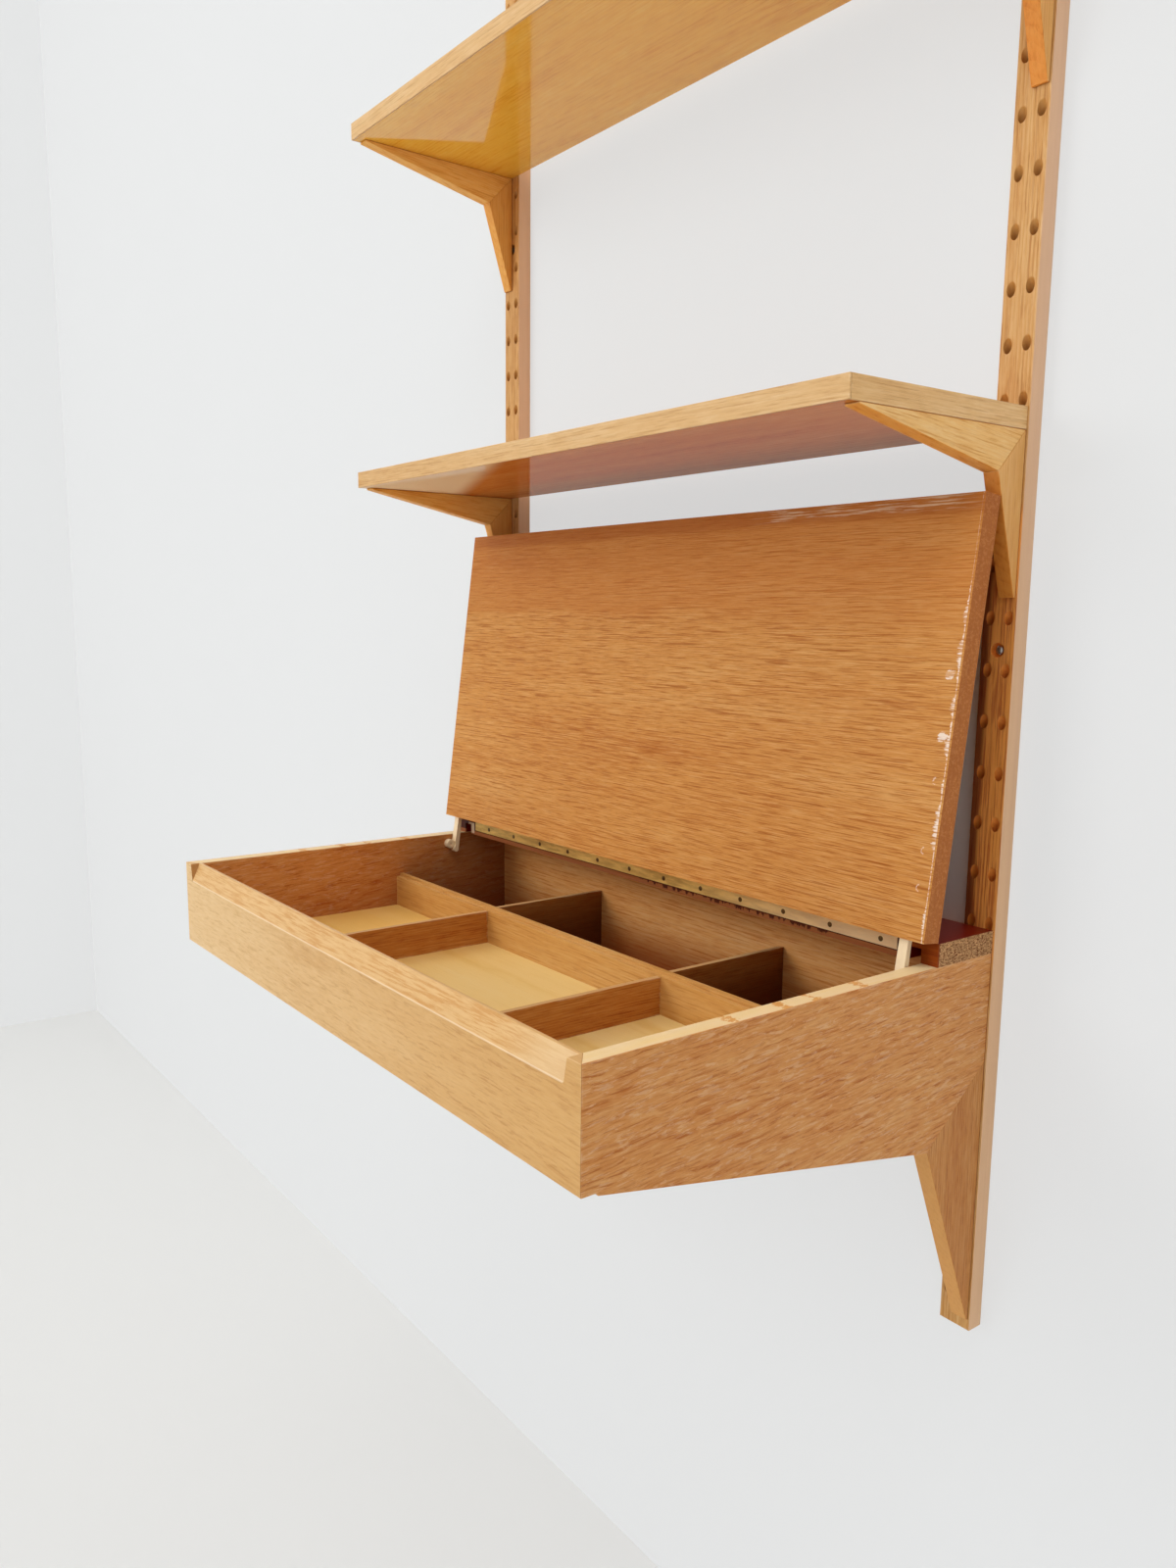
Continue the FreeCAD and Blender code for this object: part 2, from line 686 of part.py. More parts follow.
def stay_arm(side, x):
    """A stay arm let into the lid's rear edge, with a rounded end and a hollow that seats on its stop peg."""
    body = doc.addObject("PartDesign::Body", "Stay")
    top = "-hinge_rise - stay_depth"
    tip_y = "stay_reach - hinge_gap - stay_tip_radius"
    corners = [
        ("-hinge_gap - stay_mortise", top),
        (tip_y, top),
        (tip_y, f"{top} - stay_tip_thickness"),
        ("-hinge_gap", f"{top} - stay_thickness"),
        ("-hinge_gap - stay_mortise", f"{top} - stay_thickness"),
    ]
    sketch = sketch_on(body, "yz")
    closed_outline(sketch, corners)
    pad = body.newObject("PartDesign::Pad", "Pad")
    pad.Profile = sketch
    bind(pad, Length="stay_width")
    tip = body.newObject("PartDesign::AdditiveCylinder", "Tip")
    bind(tip, Radius="stay_tip_radius", Height="stay_width")
    place(tip, "0", tip_y, f"{top} - stay_tip_radius", "90", (0, 1, 0))
    bored(body, "seat_radius", "stay_width", "0", "seat_y", "seat_z")
    piece(body, f"stay_arm_{side}")
    on_lid(body, x)


def stays():
    """Both stay arms on the lid and the stop pegs in the box's sides that hold it open."""
    stay_arm("left", "-stay_inner - stay_width")
    stay_arm("right", "stay_inner")
    for side, x in (("left", "-inner_half"), ("right", "inner_half - stop_length")):
        stop = cylinder(
            "stop_diameter / 2",
            "stop_length",
            x,
            "-axis_y - stop_front",
            "axis_height - origin_height - stop_drop",
            "90",
            (0, 1, 0),
        )
        piece(stop, f"stop_peg_{side}")


def build():
    """Make every sub-part."""
    fill_sheet()
    for side, sign in SIDES.items():
        rail(side, sign)
    for level, row in (("middle", "middle_row"), ("top", "top_shelf_row_count")):
        shelf(level, row)
        for side, sign in SIDES.items():
            bracket(level, row, side, sign)
    for side, sign in SIDES.items():
        desk_side(side, sign)
    front_panel()
    box_inside()
    cross_dividers()
    rear_board()
    lid()
    hinge()
    stays()
    doc.recompute()


def check():
    """Stop if any object failed to build or any sub-part is empty, broken or in several lumps."""
    for thing in doc.Objects:
        if "Invalid" in thing.State or "Error" in thing.State:
            raise RuntimeError(f"{thing.Label} did not build: {thing.State}")
    for thing in pieces:
        shape = thing.Shape
        if shape.isNull() or not shape.isValid():
            raise RuntimeError(f"{thing.Label} has no sound shape")
        if len(shape.Solids) != 1:
            raise RuntimeError(f"{thing.Label} has {len(shape.Solids)} solids")


def export():
    """Write each sub-part under its own name."""
    os.makedirs("parts", exist_ok=True)
    for thing in pieces:
        thing.Shape.exportStep(os.path.join("parts", f"{thing.Label}.step"))


build()
check()
export()
print(len(pieces), "sub-parts")
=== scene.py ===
"""The looks of a wall-hung shelving unit with a drop-lid desk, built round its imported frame."""

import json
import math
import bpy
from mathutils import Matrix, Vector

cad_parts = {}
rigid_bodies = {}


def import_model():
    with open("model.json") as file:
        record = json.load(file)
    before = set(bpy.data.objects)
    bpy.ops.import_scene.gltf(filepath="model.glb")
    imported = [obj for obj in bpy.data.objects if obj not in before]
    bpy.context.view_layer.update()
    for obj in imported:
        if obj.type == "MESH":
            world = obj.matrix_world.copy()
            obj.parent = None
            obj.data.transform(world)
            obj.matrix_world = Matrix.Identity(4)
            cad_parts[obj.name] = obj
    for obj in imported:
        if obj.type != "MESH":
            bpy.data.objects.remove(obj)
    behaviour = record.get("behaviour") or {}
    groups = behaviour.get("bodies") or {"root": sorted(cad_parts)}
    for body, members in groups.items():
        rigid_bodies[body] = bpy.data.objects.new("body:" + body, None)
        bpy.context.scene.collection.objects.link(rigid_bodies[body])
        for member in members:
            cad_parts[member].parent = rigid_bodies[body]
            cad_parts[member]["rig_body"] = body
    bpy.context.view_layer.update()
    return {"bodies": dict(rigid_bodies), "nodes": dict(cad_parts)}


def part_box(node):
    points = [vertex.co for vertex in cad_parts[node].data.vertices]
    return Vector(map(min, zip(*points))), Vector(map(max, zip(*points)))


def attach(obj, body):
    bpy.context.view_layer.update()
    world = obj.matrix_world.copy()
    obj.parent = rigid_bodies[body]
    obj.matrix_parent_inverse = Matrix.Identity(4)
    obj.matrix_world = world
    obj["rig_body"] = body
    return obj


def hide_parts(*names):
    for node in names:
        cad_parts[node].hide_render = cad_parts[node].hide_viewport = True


bl_info = {
    "name": "Shelving unit with desk",
    "version": (1, 0, 0),
    "blender": (4, 5, 0),
    "location": "View3D > Sidebar > Shelving",
    "description": "Dresses the packed shelving unit in planed oak, with its hinge, stays and a stage",
    "category": "Object",
}

import bmesh
import bpy
import numpy as np
from bpy.props import FloatProperty, FloatVectorProperty, IntProperty, PointerProperty
from mathutils import Matrix

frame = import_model()

MM = 0.001
SIDES = {"left": -1, "right": 1}
LEVELS = ("middle", "top")

# The lid stands open this far past upright, and turns about the hinge's axis
LID_LEAN = math.radians(7.45)
HINGE_Y = -98.6 * MM
HINGE_Z = -256.075 * MM

# The rails' rows of peg holes, counted from the foot, and how many rows up their wall screws sit
ROW_PITCH = 45.65 * MM
FIRST_ROW = 33 * MM
ROW_COUNT = 34
SCREW_ROWS = (2.5, 13.38, 24.5)

# The slanted peg holes, and half the height of the band of the rail's face that holds a row of them
COLUMN_REACH = 9 * MM
PEG_RADIUS = 4.1 * MM
PEG_DEPTH = 13 * MM
PEG_SLANT = math.radians(51)
PEG_BAND = 9.2 * MM

# The wall screws' recesses and the holes through them, and half the height of their band
RECESS_RADIUS = 6.5 * MM
RECESS_DEPTH = 5 * MM
SHANK_RADIUS = 2.5 * MM
SCREW_BAND = 8 * MM

# What is left of the tapered pieces at their thin ends
ARM_TIP = 2 * MM
LEG_TIP = 3 * MM
DESK_LEG_TIP = 2.5 * MM

# The desk's sides, the small step in their lower edge behind the front panel, and the panel's chamfer
SIDE_THICKNESS = 17 * MM
STEP_SETBACK = 13.5 * MM
STEP_RUN = 2 * MM
STEP_DROP = 2.3 * MM
CHAMFER_DROP = 20 * MM
CHAMFER_LIP = 10.5 * MM
CHAMFER_STOP = 17 * MM
CHAMFER_STOP_BACK = 19 * MM
CHAMFER_STOP_FOOT = 21 * MM

# The ledge along the long divider's front
LEDGE_REACH = 5.3 * MM
LEDGE_DROP = 3.7 * MM

# The hinge: its leaves, as they hang from the axis, its knuckles and its screws
LEAF_GAP = 0.7 * MM
LEAF_THICKNESS = 1 * MM
LEAF_HEAD = 1.2 * MM
LEAF_HEIGHT = 15 * MM
KNUCKLE_RADIUS = 1.9 * MM
PIN_HOLE = 1.02 * MM
SCREW_DROP = 9 * MM
SCREW_SHIFT = 8 * MM

# Places where the looks change: the heights of the rails that the lid covers, the inner faces of the box's
# sides, the stains on their top strip, the foot of the hinge leaf, and the lid's right edge with the spots
# where its lacquer is broken
BEHIND_LID = (-0.27, 0.1)
BOX_INNER = (0.387, 0.385)
STAINS = ((-0.324, -0.320), (-0.270, -0.264), (-0.234, -0.231), (-0.178, -0.172))
LEAF_FOOT = -0.2709
LID_EDGE = 0.3975
TORN_SPOTS = ((0.3895, 0.2306), (0.3900, 0.1775))
HOOKS = ((0.3895, 0.1398), (0.3874, 0.0795), (0.3876, 0.0472))

# Tints that an oak's own colour is multiplied by, four of them painted shade and light, and the two shades of
# the lid's ends
# Painted warm shade on the left bracket
LEFT_SHADE_TINT = (1.0, 0.9, 0.62)
# Painted shade on the faces that look down, under the brackets' arms and down their legs' fronts
UNDERSIDE_SHADE_TINT = (1.0, 0.74, 0.42)
# Painted warm light on the shelf edgings' right end faces
RIGHT_END_LIGHT_TINT = (1.14, 1.1, 1.02)
# Painted shade across the right of the desk's front panel
RIGHT_SHADE_TINT = (0.88, 0.73, 0.5)
ROSY_TINT = (0.95, 0.93, 1.0)
LID_END_SHADES = ((0.42, 0.12, 0.022), (0.52, 0.18, 0.045))

# The room's left, right, near and far ends, its floor and its top, and the stretch of wall behind the desk
ROOM = (-2.844, 6.0, -7.0, 0.8 * MM, -1.249, 4.0)
DESK_ACROSS = (-0.37, 0.37)
DESK_UP = (-0.42, 0.06)

# The camera, solved from the unit's straight edges: degrees round, down and rolled, its place and its shift
CAMERA_TURN = (53.4855, 9.0255, 0.4771)
CAMERA_PLACE = (1.0013844, -0.9376561, 0.0209238)
CAMERA_SHIFT = (0.0099, 0.0121)


def tone(red, green, blue):
    """A colour as it looks on a screen, 0 to 255 a channel, turned into scene light."""
    shares = np.array((red, green, blue)) / 255
    return tuple(np.where(shares <= 0.04045, shares / 12.92, ((shares + 0.055) / 1.055) ** 2.4))


def swatch(name, description, shade):
    """A colour that a user can change."""
    return FloatVectorProperty(
        name=name, description=description, default=tone(*shade), size=3, min=0, max=1, subtype="COLOR"
    )


def span(name, description, millimetres, most=50.0):
    """A length that a user can change."""
    return FloatProperty(
        name=name,
        description=description,
        default=millimetres * MM,
        min=0,
        max=most * MM,
        unit="LENGTH",
        subtype="DISTANCE",
        precision=5,
    )


def count(name, description, default, least, most):
    """A number of pieces that a user can change."""
    return IntProperty(name=name, description=description, default=default, min=least, max=most)


def share(name, description, default, most=1.0):
    """A plain amount that a user can change."""
    return FloatProperty(name=name, description=description, default=default, min=0, max=most)


class TimberFinish(bpy.types.PropertyGroup):
    """Colours of the wood and board finishes, and how strong their figure and wear are."""

    shelf_edge: swatch("Shelf edging", "Honey oak of the shelves' edge strips", (214, 172, 116))
    top_shelf: swatch("Top shelf", "Golden veneer of the top shelf", (232, 172, 60))
    middle_shelf: swatch("Middle shelf", "Browner veneer of the middle shelf", (204, 124, 54))
    bracket_arm: swatch("Bracket arms", "Solid oak of the bracket arms", (240, 188, 114))
    bracket_leg: swatch("Bracket legs", "Redder oak of the bracket legs", (226, 166, 90))
    # The rails' orange behind the lid: part unfaded wood, part painted shade of the lid
    rail_behind_lid_shade: swatch("Rails behind the lid", "Orange oak kept out of the light", (242, 158, 72))
    rail: swatch("Rails", "Solid oak of the wall rails", (208, 156, 90))
    rail_side: swatch("Rail sides", "Pinker, plainer flanks of the wall rails", (230, 186, 148))
    lid: swatch("Lid", "Reddish oak veneer of the drop lid", (206, 143, 70))
    desk_leg: swatch("Desk legs", "Solid oak of the legs under the desk box", (200, 134, 68))
    box_front: swatch("Box front", "Veneer of the desk's front panel", (224, 187, 133))
    box_side: swatch("Box sides", "Veneer of the desk's two sides", (212, 144, 76))
    box_inside: swatch("Box bottom", "Brown veneer of the box's bottom", (166, 104, 52))
    box_back: swatch("Box back", "Paler veneer of the box's back", (228, 162, 90))
    divider: swatch("Long divider", "Light solid oak of the long divider", (207, 155, 84))
    cross: swatch("Cross dividers", "Browner oak of the short dividers", (184, 116, 46))
    ply: swatch("Floor", "Light ply of the front compartments' floor", (240, 208, 136))
    chipboard: swatch("Chipboard", "Raw ends of the rear board", (208, 158, 108))
    # The rear board's dark red top, part lacquer and part painted shade of the lid; also the lid's painted
    # shadow on the rails
    board_top_and_shade: swatch("Rear board", "Dark red lacquer on top of the rear board", (128, 28, 16))
    lipping: swatch("Lipping", "Brown strip on the rear board's front", (150, 88, 46))
    chip: swatch("Chips", "Whitish breaks in the lid's lacquer", (244, 226, 210))
    worn: swatch("Worn wood", "Bare wood where corners are rubbed or chipped", (240, 216, 182))
    figure: share("Figure", "How strongly the growth rings show", 0.6)
    pores: share("Pores", "How dark the open pores are", 0.7)
    wear: share("Wear", "How far corners are rubbed pale", 0.5)


class FittingSizes(bpy.types.PropertyGroup):
    """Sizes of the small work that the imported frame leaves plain, and the metal and nylon colours."""

    ease: span("Eased corner", "Width of the rounding on planed corners", 0.7, 3)
    strip_ease: span("Edging corner", "Width of the rounding on edge strips", 0.4, 2)
    knuckle_count: count("Knuckles", "Hinge knuckles in all", 56, 12, 90)
    leaf_screw_count: count("Leaf screws", "Screws in a hinge leaf", 12, 2, 20)
    leaf_screw_pitch: span("Leaf screw pitch", "Distance from screw to screw in a hinge leaf", 60, 200)
    leaf_screw_head: span("Leaf screw head", "Across the head of a hinge screw", 5.2, 10)
    wall_screw_head: span("Wall screw head", "Across the head of a wall screw", 8.4, 12)
    brass: swatch("Brass", "Dull brass of the piano hinge", (244, 208, 120))
    screw: swatch("Hinge screws", "Dark steel of the hinge screws' heads", (112, 86, 54))
    bolt: swatch("Wall screws", "Bright steel of the wall screws' heads", (214, 212, 208))
    nylon: swatch("Nylon", "Yellowed white nylon of the stays and stop pegs", (250, 228, 188))


class StageSettings(bpy.types.PropertyGroup):
    """The room, its light and the camera."""

    wall: swatch("Wall", "Matt white of the walls", (231, 232, 232))
    floor: swatch("Floor", "Pale floor", (228, 228, 226))
    key: share("Window light", "Strength of the large window on the left, in watts", 106, 1000)
    fill: share("Fill light", "Strength of the pale light from above, in watts", 28, 1000)
    back: share("Back light", "Strength of the light behind the wall, in watts", 20, 1000)
    sky: share("Room light", "Even light from all round", 0.78, 2)
    lens: FloatProperty(
        name="Lens", description="Focal length", default=26.985, min=10, max=120, unit="CAMERA"
    )


# Mesh tools


class Surface:
    """Collects grids and flat caps, and turns them into one closed, welded piece."""

    def __init__(self):
        self.points = []
        self.faces = []
        self.count = 0

    def grid(self, points, wrap_rows=False, wrap_columns=False):
        """Quads between neighbours of a grid of points, shaped rows by columns by three, or a stack of such
        grids."""
        points = np.asarray(points, float)
        stack = points if points.ndim == 4 else points[None]
        copies, rows, columns = stack.shape[:3]
        index = np.arange(copies * rows * columns).reshape(copies, rows, columns) + self.count
        if wrap_rows:
            index = np.concatenate([index, index[:, :1]], axis=1)
        if wrap_columns:
            index = np.concatenate([index, index[:, :, :1]], axis=2)
        corners = [index[:, :-1, :-1], index[:, 1:, :-1], index[:, 1:, 1:], index[:, :-1, 1:]]
        self.points.append(stack.reshape(-1, 3))
        self.faces += np.stack(corners, axis=-1).reshape(-1, 4).tolist()
        self.count += copies * rows * columns

    def cap(self, loop):
        """One flat face over a closed loop of points."""
        self.points.append(np.asarray(loop, float))
        self.faces.append(list(range(self.count, self.count + len(loop))))
        self.count += len(loop)

    def piece(self, name):
        """Weld the seams, point every face outward and put the piece in the scene."""
        mesh = bpy.data.meshes.new(name)
        mesh.from_pydata(np.concatenate(self.points).tolist(), [], self.faces)
        shell = bmesh.new()
        shell.from_mesh(mesh)
        bmesh.ops.remove_doubles(shell, verts=shell.verts, dist=2e-6)
        bmesh.ops.recalc_face_normals(shell, faces=shell.faces)
        shell.to_mesh(mesh)
        shell.free()
        made = bpy.data.objects.new(name, mesh)
        bpy.context.scene.collection.objects.link(made)
        return made


def carried(profile, axis, low, high):
    """A closed flat profile carried straight along an axis: each point keeps its two coordinates in the
    profile's plane while the third runs from low to high."""
    profile = np.asarray(profile, float)
    places = {"X": (1, 2, 0), "Y": (0, 2, 1), "Z": (0, 1, 2)}[axis]
    ends = np.zeros((2, len(profile), 3))
    ends[:, :, places[0]] = profile[:, 0]
    ends[:, :, places[1]] = profile[:, 1]
    ends[0, :, places[2]] = low
    ends[1, :, places[2]] = high
    return ends


def shell_of(rows):
    """A closed solid through a row of loops, with a flat cap over the first and the last."""
    surface = Surface()
    surface.grid(rows, wrap_columns=True)
    surface.cap(rows[0])
    surface.cap(rows[-1])
    return surface


def ease(piece, width, planes=None):
    """Round the piece's corners with a bevel, all of them or only those lying in the given planes."""
    rounding = piece.modifiers.new("Eased corners", "BEVEL")
    rounding.width = width
    rounding.segments = 3
    rounding.harden_normals = True
    rounding.use_clamp_overlap = True
    if planes is None:
        rounding.limit_method = "ANGLE"
        rounding.angle_limit = math.radians(12)
    else:
        mesh = piece.data
        spots = vertex_places(mesh)
        ends = np.empty(len(mesh.edges) * 2, int)
        mesh.edges.foreach_get("vertices", ends)
        pairs = spots[ends.reshape(-1, 2)]
        weights = np.zeros(len(mesh.edges))
        for axis, place in planes:
            weights[np.all(np.abs(pairs[:, :, axis] - place) < 1e-5, axis=1)] = 1
        layer = mesh.attributes.new("bevel_weight_edge", "FLOAT", "EDGE")
        layer.data.foreach_set("value", weights)
        rounding.limit_method = "WEIGHT"
    piece.data.shade_smooth()


def vertex_places(mesh):
    """The mesh's points as an array, one row each."""
    spots = np.empty(len(mesh.vertices) * 3)
    mesh.vertices.foreach_get("co", spots)
    return spots.reshape(-1, 3)


def note_vectors(mesh, name, values):
    """Write a vector for every point of the mesh, anew or in place of the old ones."""
    layer = mesh.attributes.get(name) or mesh.attributes.new(name, "FLOAT_VECTOR", "POINT")
    layer.data.foreach_set("vector", np.ascontiguousarray(values, float).ravel())


def lay_grain(piece, along, out, tree):
    """Give a board its own axes for the wood's figure.

    The first axis runs with the grain, the third points out of the board's best face, and the second is
    square to both. Three vectors are kept for each point: its place in the board from the middle, half the
    board's size, and its place in the tree, which is the first one moved by the given distances."""
    first = np.array(along, float) / np.linalg.norm(along)
    third = np.array(out, float) - first * np.dot(out, first)
    third /= np.linalg.norm(third)
    axes = np.stack([first, np.cross(third, first), third])
    spots = vertex_places(piece.data) @ axes.T
    middle = (spots.min(0) + spots.max(0)) / 2
    half = (spots.max(0) - spots.min(0)) / 2
    note_vectors(piece.data, "board", spots - middle)
    note_vectors(piece.data, "half", np.tile(half, (len(spots), 1)))
    note_vectors(piece.data, "grain", spots - middle + np.array(tree))


def stand_for(piece, material, node):
    """Let the piece ride with its node's body and take its place and slot."""
    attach(piece, frame["nodes"][node]["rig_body"])
    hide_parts(node)
    piece.data.materials.append(material)


def go_with(piece, material, body):
    """Let a piece that has no node of its own ride with a body."""
    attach(piece, body)
    piece.data.materials.append(material)


def finish_node(node, material):
    """Give a node that stays as it is its finished material."""
    mesh = frame["nodes"][node].data
    mesh.materials.clear()
    mesh.materials.append(material)


def limits(node):
    """A node's lowest and highest corner as arrays."""
    low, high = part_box(node)
    return np.array(low), np.array(high)


def planed(node, rows, grain, material, width=0, planes=None, upright=False):
    """A board through a row of loops, in its node's place.

    Its grain is three things: the way it runs, the way the board's best face looks, and the board's place in
    the tree. The width is that of its eased corners, in the given planes or everywhere."""
    made = shell_of(rows).piece(f"planed_{node}")
    lay_grain(made, *grain)
    if upright:
        board_up(made, *limits(node))
    if width:
        ease(made, width, planes)
    stand_for(made, material, node)


def plank(node, outline, grain, material, width=0):
    """A planed board whose outline, in distances from the wall and heights, is carried across its node."""
    low, high = limits(node)
    planed(node, carried(outline, "X", low[0], high[0]), grain, material, width)


def block(node, grain, material, width=0, planes=None):
    """A planed board the size of a plain boxed node: its end section carried with the grain."""
    low, high = limits(node)
    run = int(np.argmax(np.abs(grain[0])))
    one, two = (axis for axis in range(3) if axis != run)
    section = [(low[one], low[two]), (high[one], low[two]), (high[one], high[two]), (low[one], high[two])]
    rows = carried(section, "XYZ"[run], low[run], high[run])
    planed(node, rows, grain, material, width, planes)


# Shader tools


class Shader:
    """A material's nodes, with a short call for each kind that the finishes use."""

    def __init__(self, name):
        self.material = bpy.data.materials.new(name)
        self.material.use_nodes = True
        self.tree = self.material.node_tree
        self.tree.nodes.clear()
        self.output = self.tree.nodes.new("ShaderNodeOutputMaterial")

    def put(self, socket, given):
        """Link the socket to another one, or set its value."""
        if isinstance(given, bpy.types.NodeSocket):
            self.tree.links.new(given, socket)
        elif socket.type == "RGBA":
            socket.default_value = (*given, 1.0)
        else:
            socket.default_value = given

    def node(self, kind, settings=None, **inputs):
        """A node with its settings, and its inputs named with low lines for blanks."""
        made = self.tree.nodes.new(f"ShaderNode{kind}")
        for name, given in (settings or {}).items():
            setattr(made, name, given)
        for name, given in inputs.items():
            self.put(made.inputs[name.replace("_", " ")], given)
        return made

    def math(self, operation, *values, clamp=False):
        """One sum on plain numbers."""
        made = self.node("Math", {"operation": operation, "use_clamp": clamp})
        for socket, given in zip(made.inputs, values):
            self.put(socket, given)
        return made.outputs[0]

    def scale(self, given, factor, shift):
        """A number times a factor, with another one added."""
        return self.math("MULTIPLY_ADD", given, factor, shift)

    def less(self, given, other):
        """A number less another one."""
        return self.math("SUBTRACT", given, other)

    def rest(self, given, clamp=False):
        """What a share leaves of one."""
        return self.math("SUBTRACT", 1.0, given, clamp=clamp)

    def magnitude(self, given):
        """A number without its sign."""
        return self.math("ABSOLUTE", given)

    def most(self, first, second):
        """The larger of two numbers."""
        return self.math("MAXIMUM", first, second)

    def vector(self, operation, *values):
        """One sum on vectors."""
        made = self.node("VectorMath", {"operation": operation})
        for socket, given in zip(made.inputs, values):
            self.put(socket, given)
        return made.outputs["Vector"]

    def attribute(self, name):
        """A vector that the piece carries."""
        return self.node("Attribute", {"attribute_name": name}).outputs["Vector"]

    def place(self, shift=(0, 0, 0)):
        """The point's place in the unit's own frame, shifted or not."""
        spot = self.node("TexCoord").outputs["Object"]
        made = self.node("Mapping", Vector=spot)
        made.inputs["Location"].default_value = shift
        return made.outputs["Vector"]

    def split(self, vector):
        """The three numbers of a vector."""
        return tuple(self.node("SeparateXYZ", Vector=vector).outputs)

    def join(self, first, second, third):
        """A vector from three numbers."""
        made = self.node("CombineXYZ")
        for socket, given in zip(made.inputs, (first, second, third)):
            self.put(socket, given)
        return made.outputs["Vector"]

    def noise(self, at, stretch, detail=2.0, rough=0.5, bend=0.0):
        """Cloudy noise with so many clouds a metre each way."""
        scaled = self.vector("MULTIPLY", at, stretch)
        return self.node("TexNoise", Vector=scaled, Scale=1.0, Detail=detail, Roughness=rough,
                         Distortion=bend).outputs[0]

    def step(self, given, low, high):
        """A soft step from 0 to 1 between two values."""
        made = self.node("MapRange", {"interpolation_type": "SMOOTHSTEP"}, Value=given)
        self.put(made.inputs["From Min"], low)
        self.put(made.inputs["From Max"], high)
        return made.outputs[0]

    def mix(self, factor, first, second, kind="MIX"):
        """One colour mixed with another."""
        made = self.node("Mix", {"data_type": "RGBA", "blend_type": kind})
        for index, given in ((0, factor), (6, first), (7, second)):
            self.put(made.inputs[index], given)
        return made.outputs[2]

    def over(self, colour, other, *shares):
        """A colour with another one laid over it, as thick as the product of the shares."""
        return self.mix(self.both(*shares), colour, other)

    def tint(self, colour, shade):
        """A colour multiplied by a shade."""
        return self.mix(1.0, colour, shade, "MULTIPLY")

    def fade(self, factor, first, second):
        """One surface fading into another."""
        made = self.node("MixShader")
        for socket, given in zip(made.inputs, (factor, first, second)):
            self.put(socket, given)
        return made.outputs[0]

    def blend(self, factor, first, second):
        """One vector fading into another."""
        made = self.node("Mix", {"data_type": "VECTOR"})
        for index, given in ((0, factor), (4, first), (5, second)):
            self.put(made.inputs[index], given)
        return made.outputs[1]

    def facing(self, axis):
        """How far the surface faces along an axis of the unit, from -1 to 1."""
        return self.split(self.node("NewGeometry").outputs["Normal"])["XYZ".index(axis)]

    def both(self, *shares):
        """The product of several shares."""
        made = shares[0]
        for other in shares[1:]:
            made = self.math("MULTIPLY", made, other)
        return made

    def near(self, given, low, high, soft):
        """1 between two values and 0 beyond them, with soft ends."""
        return self.both(self.step(given, low - soft, low), self.step(given, high + soft, high))

    def rim(self):
        """How far a point on a board lies from the nearest corner: the middle one of its three distances
        to the board's faces, as the smallest is the face it lies on."""
        reach = self.vector("ABSOLUTE", self.attribute("board"))
        first, second, third = self.split(self.vector("SUBTRACT", self.attribute("half"), reach))
        lesser = self.math("MINIMUM", first, second)
        greater = self.most(first, second)
        return self.most(lesser, self.math("MINIMUM", greater, third))

    def close(self, colour, rough, height=None, depth=0.0002, metal=0.0, coat=0.0, coat_rough=0.2, shine=0.5):
        """The finished surface from its colour, roughness and relief."""
        made = self.node("BsdfPrincipled", Base_Color=colour, Roughness=rough)
        made.inputs["Metallic"].default_value = metal
        made.inputs["Coat Weight"].default_value = coat
        made.inputs["Coat Roughness"].default_value = coat_rough
        made.inputs["Specular IOR Level"].default_value = shine
        if height is not None:
            relief = self.node("Bump", Strength=0.6, Distance=depth, Height=height)
            self.tree.links.new(relief.outputs[0], made.inputs["Normal"])
        self.tree.links.new(made.outputs[0], self.output.inputs["Surface"])
        return self.material


def darker(colour, factor, warmth=0.0):
    """A deeper shade of a colour, with some of its blue and green taken out."""
    red, green, blue = colour
    return (red * factor, green * factor * (1 - warmth), blue * factor * (1 - 2 * warmth))


def steeped(colour, depth, dimmed=1.0):
    """A colour as more or less stain would leave it: each channel raised to the power of the stain's depth,
    so that blue goes first, then green, and red hardly at all."""
    return tuple(dimmed * channel**depth for channel in colour)


def lighter(colour, factor):
    """A paler shade of a colour, a little yellower."""
    red, green, blue = colour
    return (min(1.0, red * factor), min(1.0, green * factor * 1.03), min(1.0, blue * factor * 0.98))


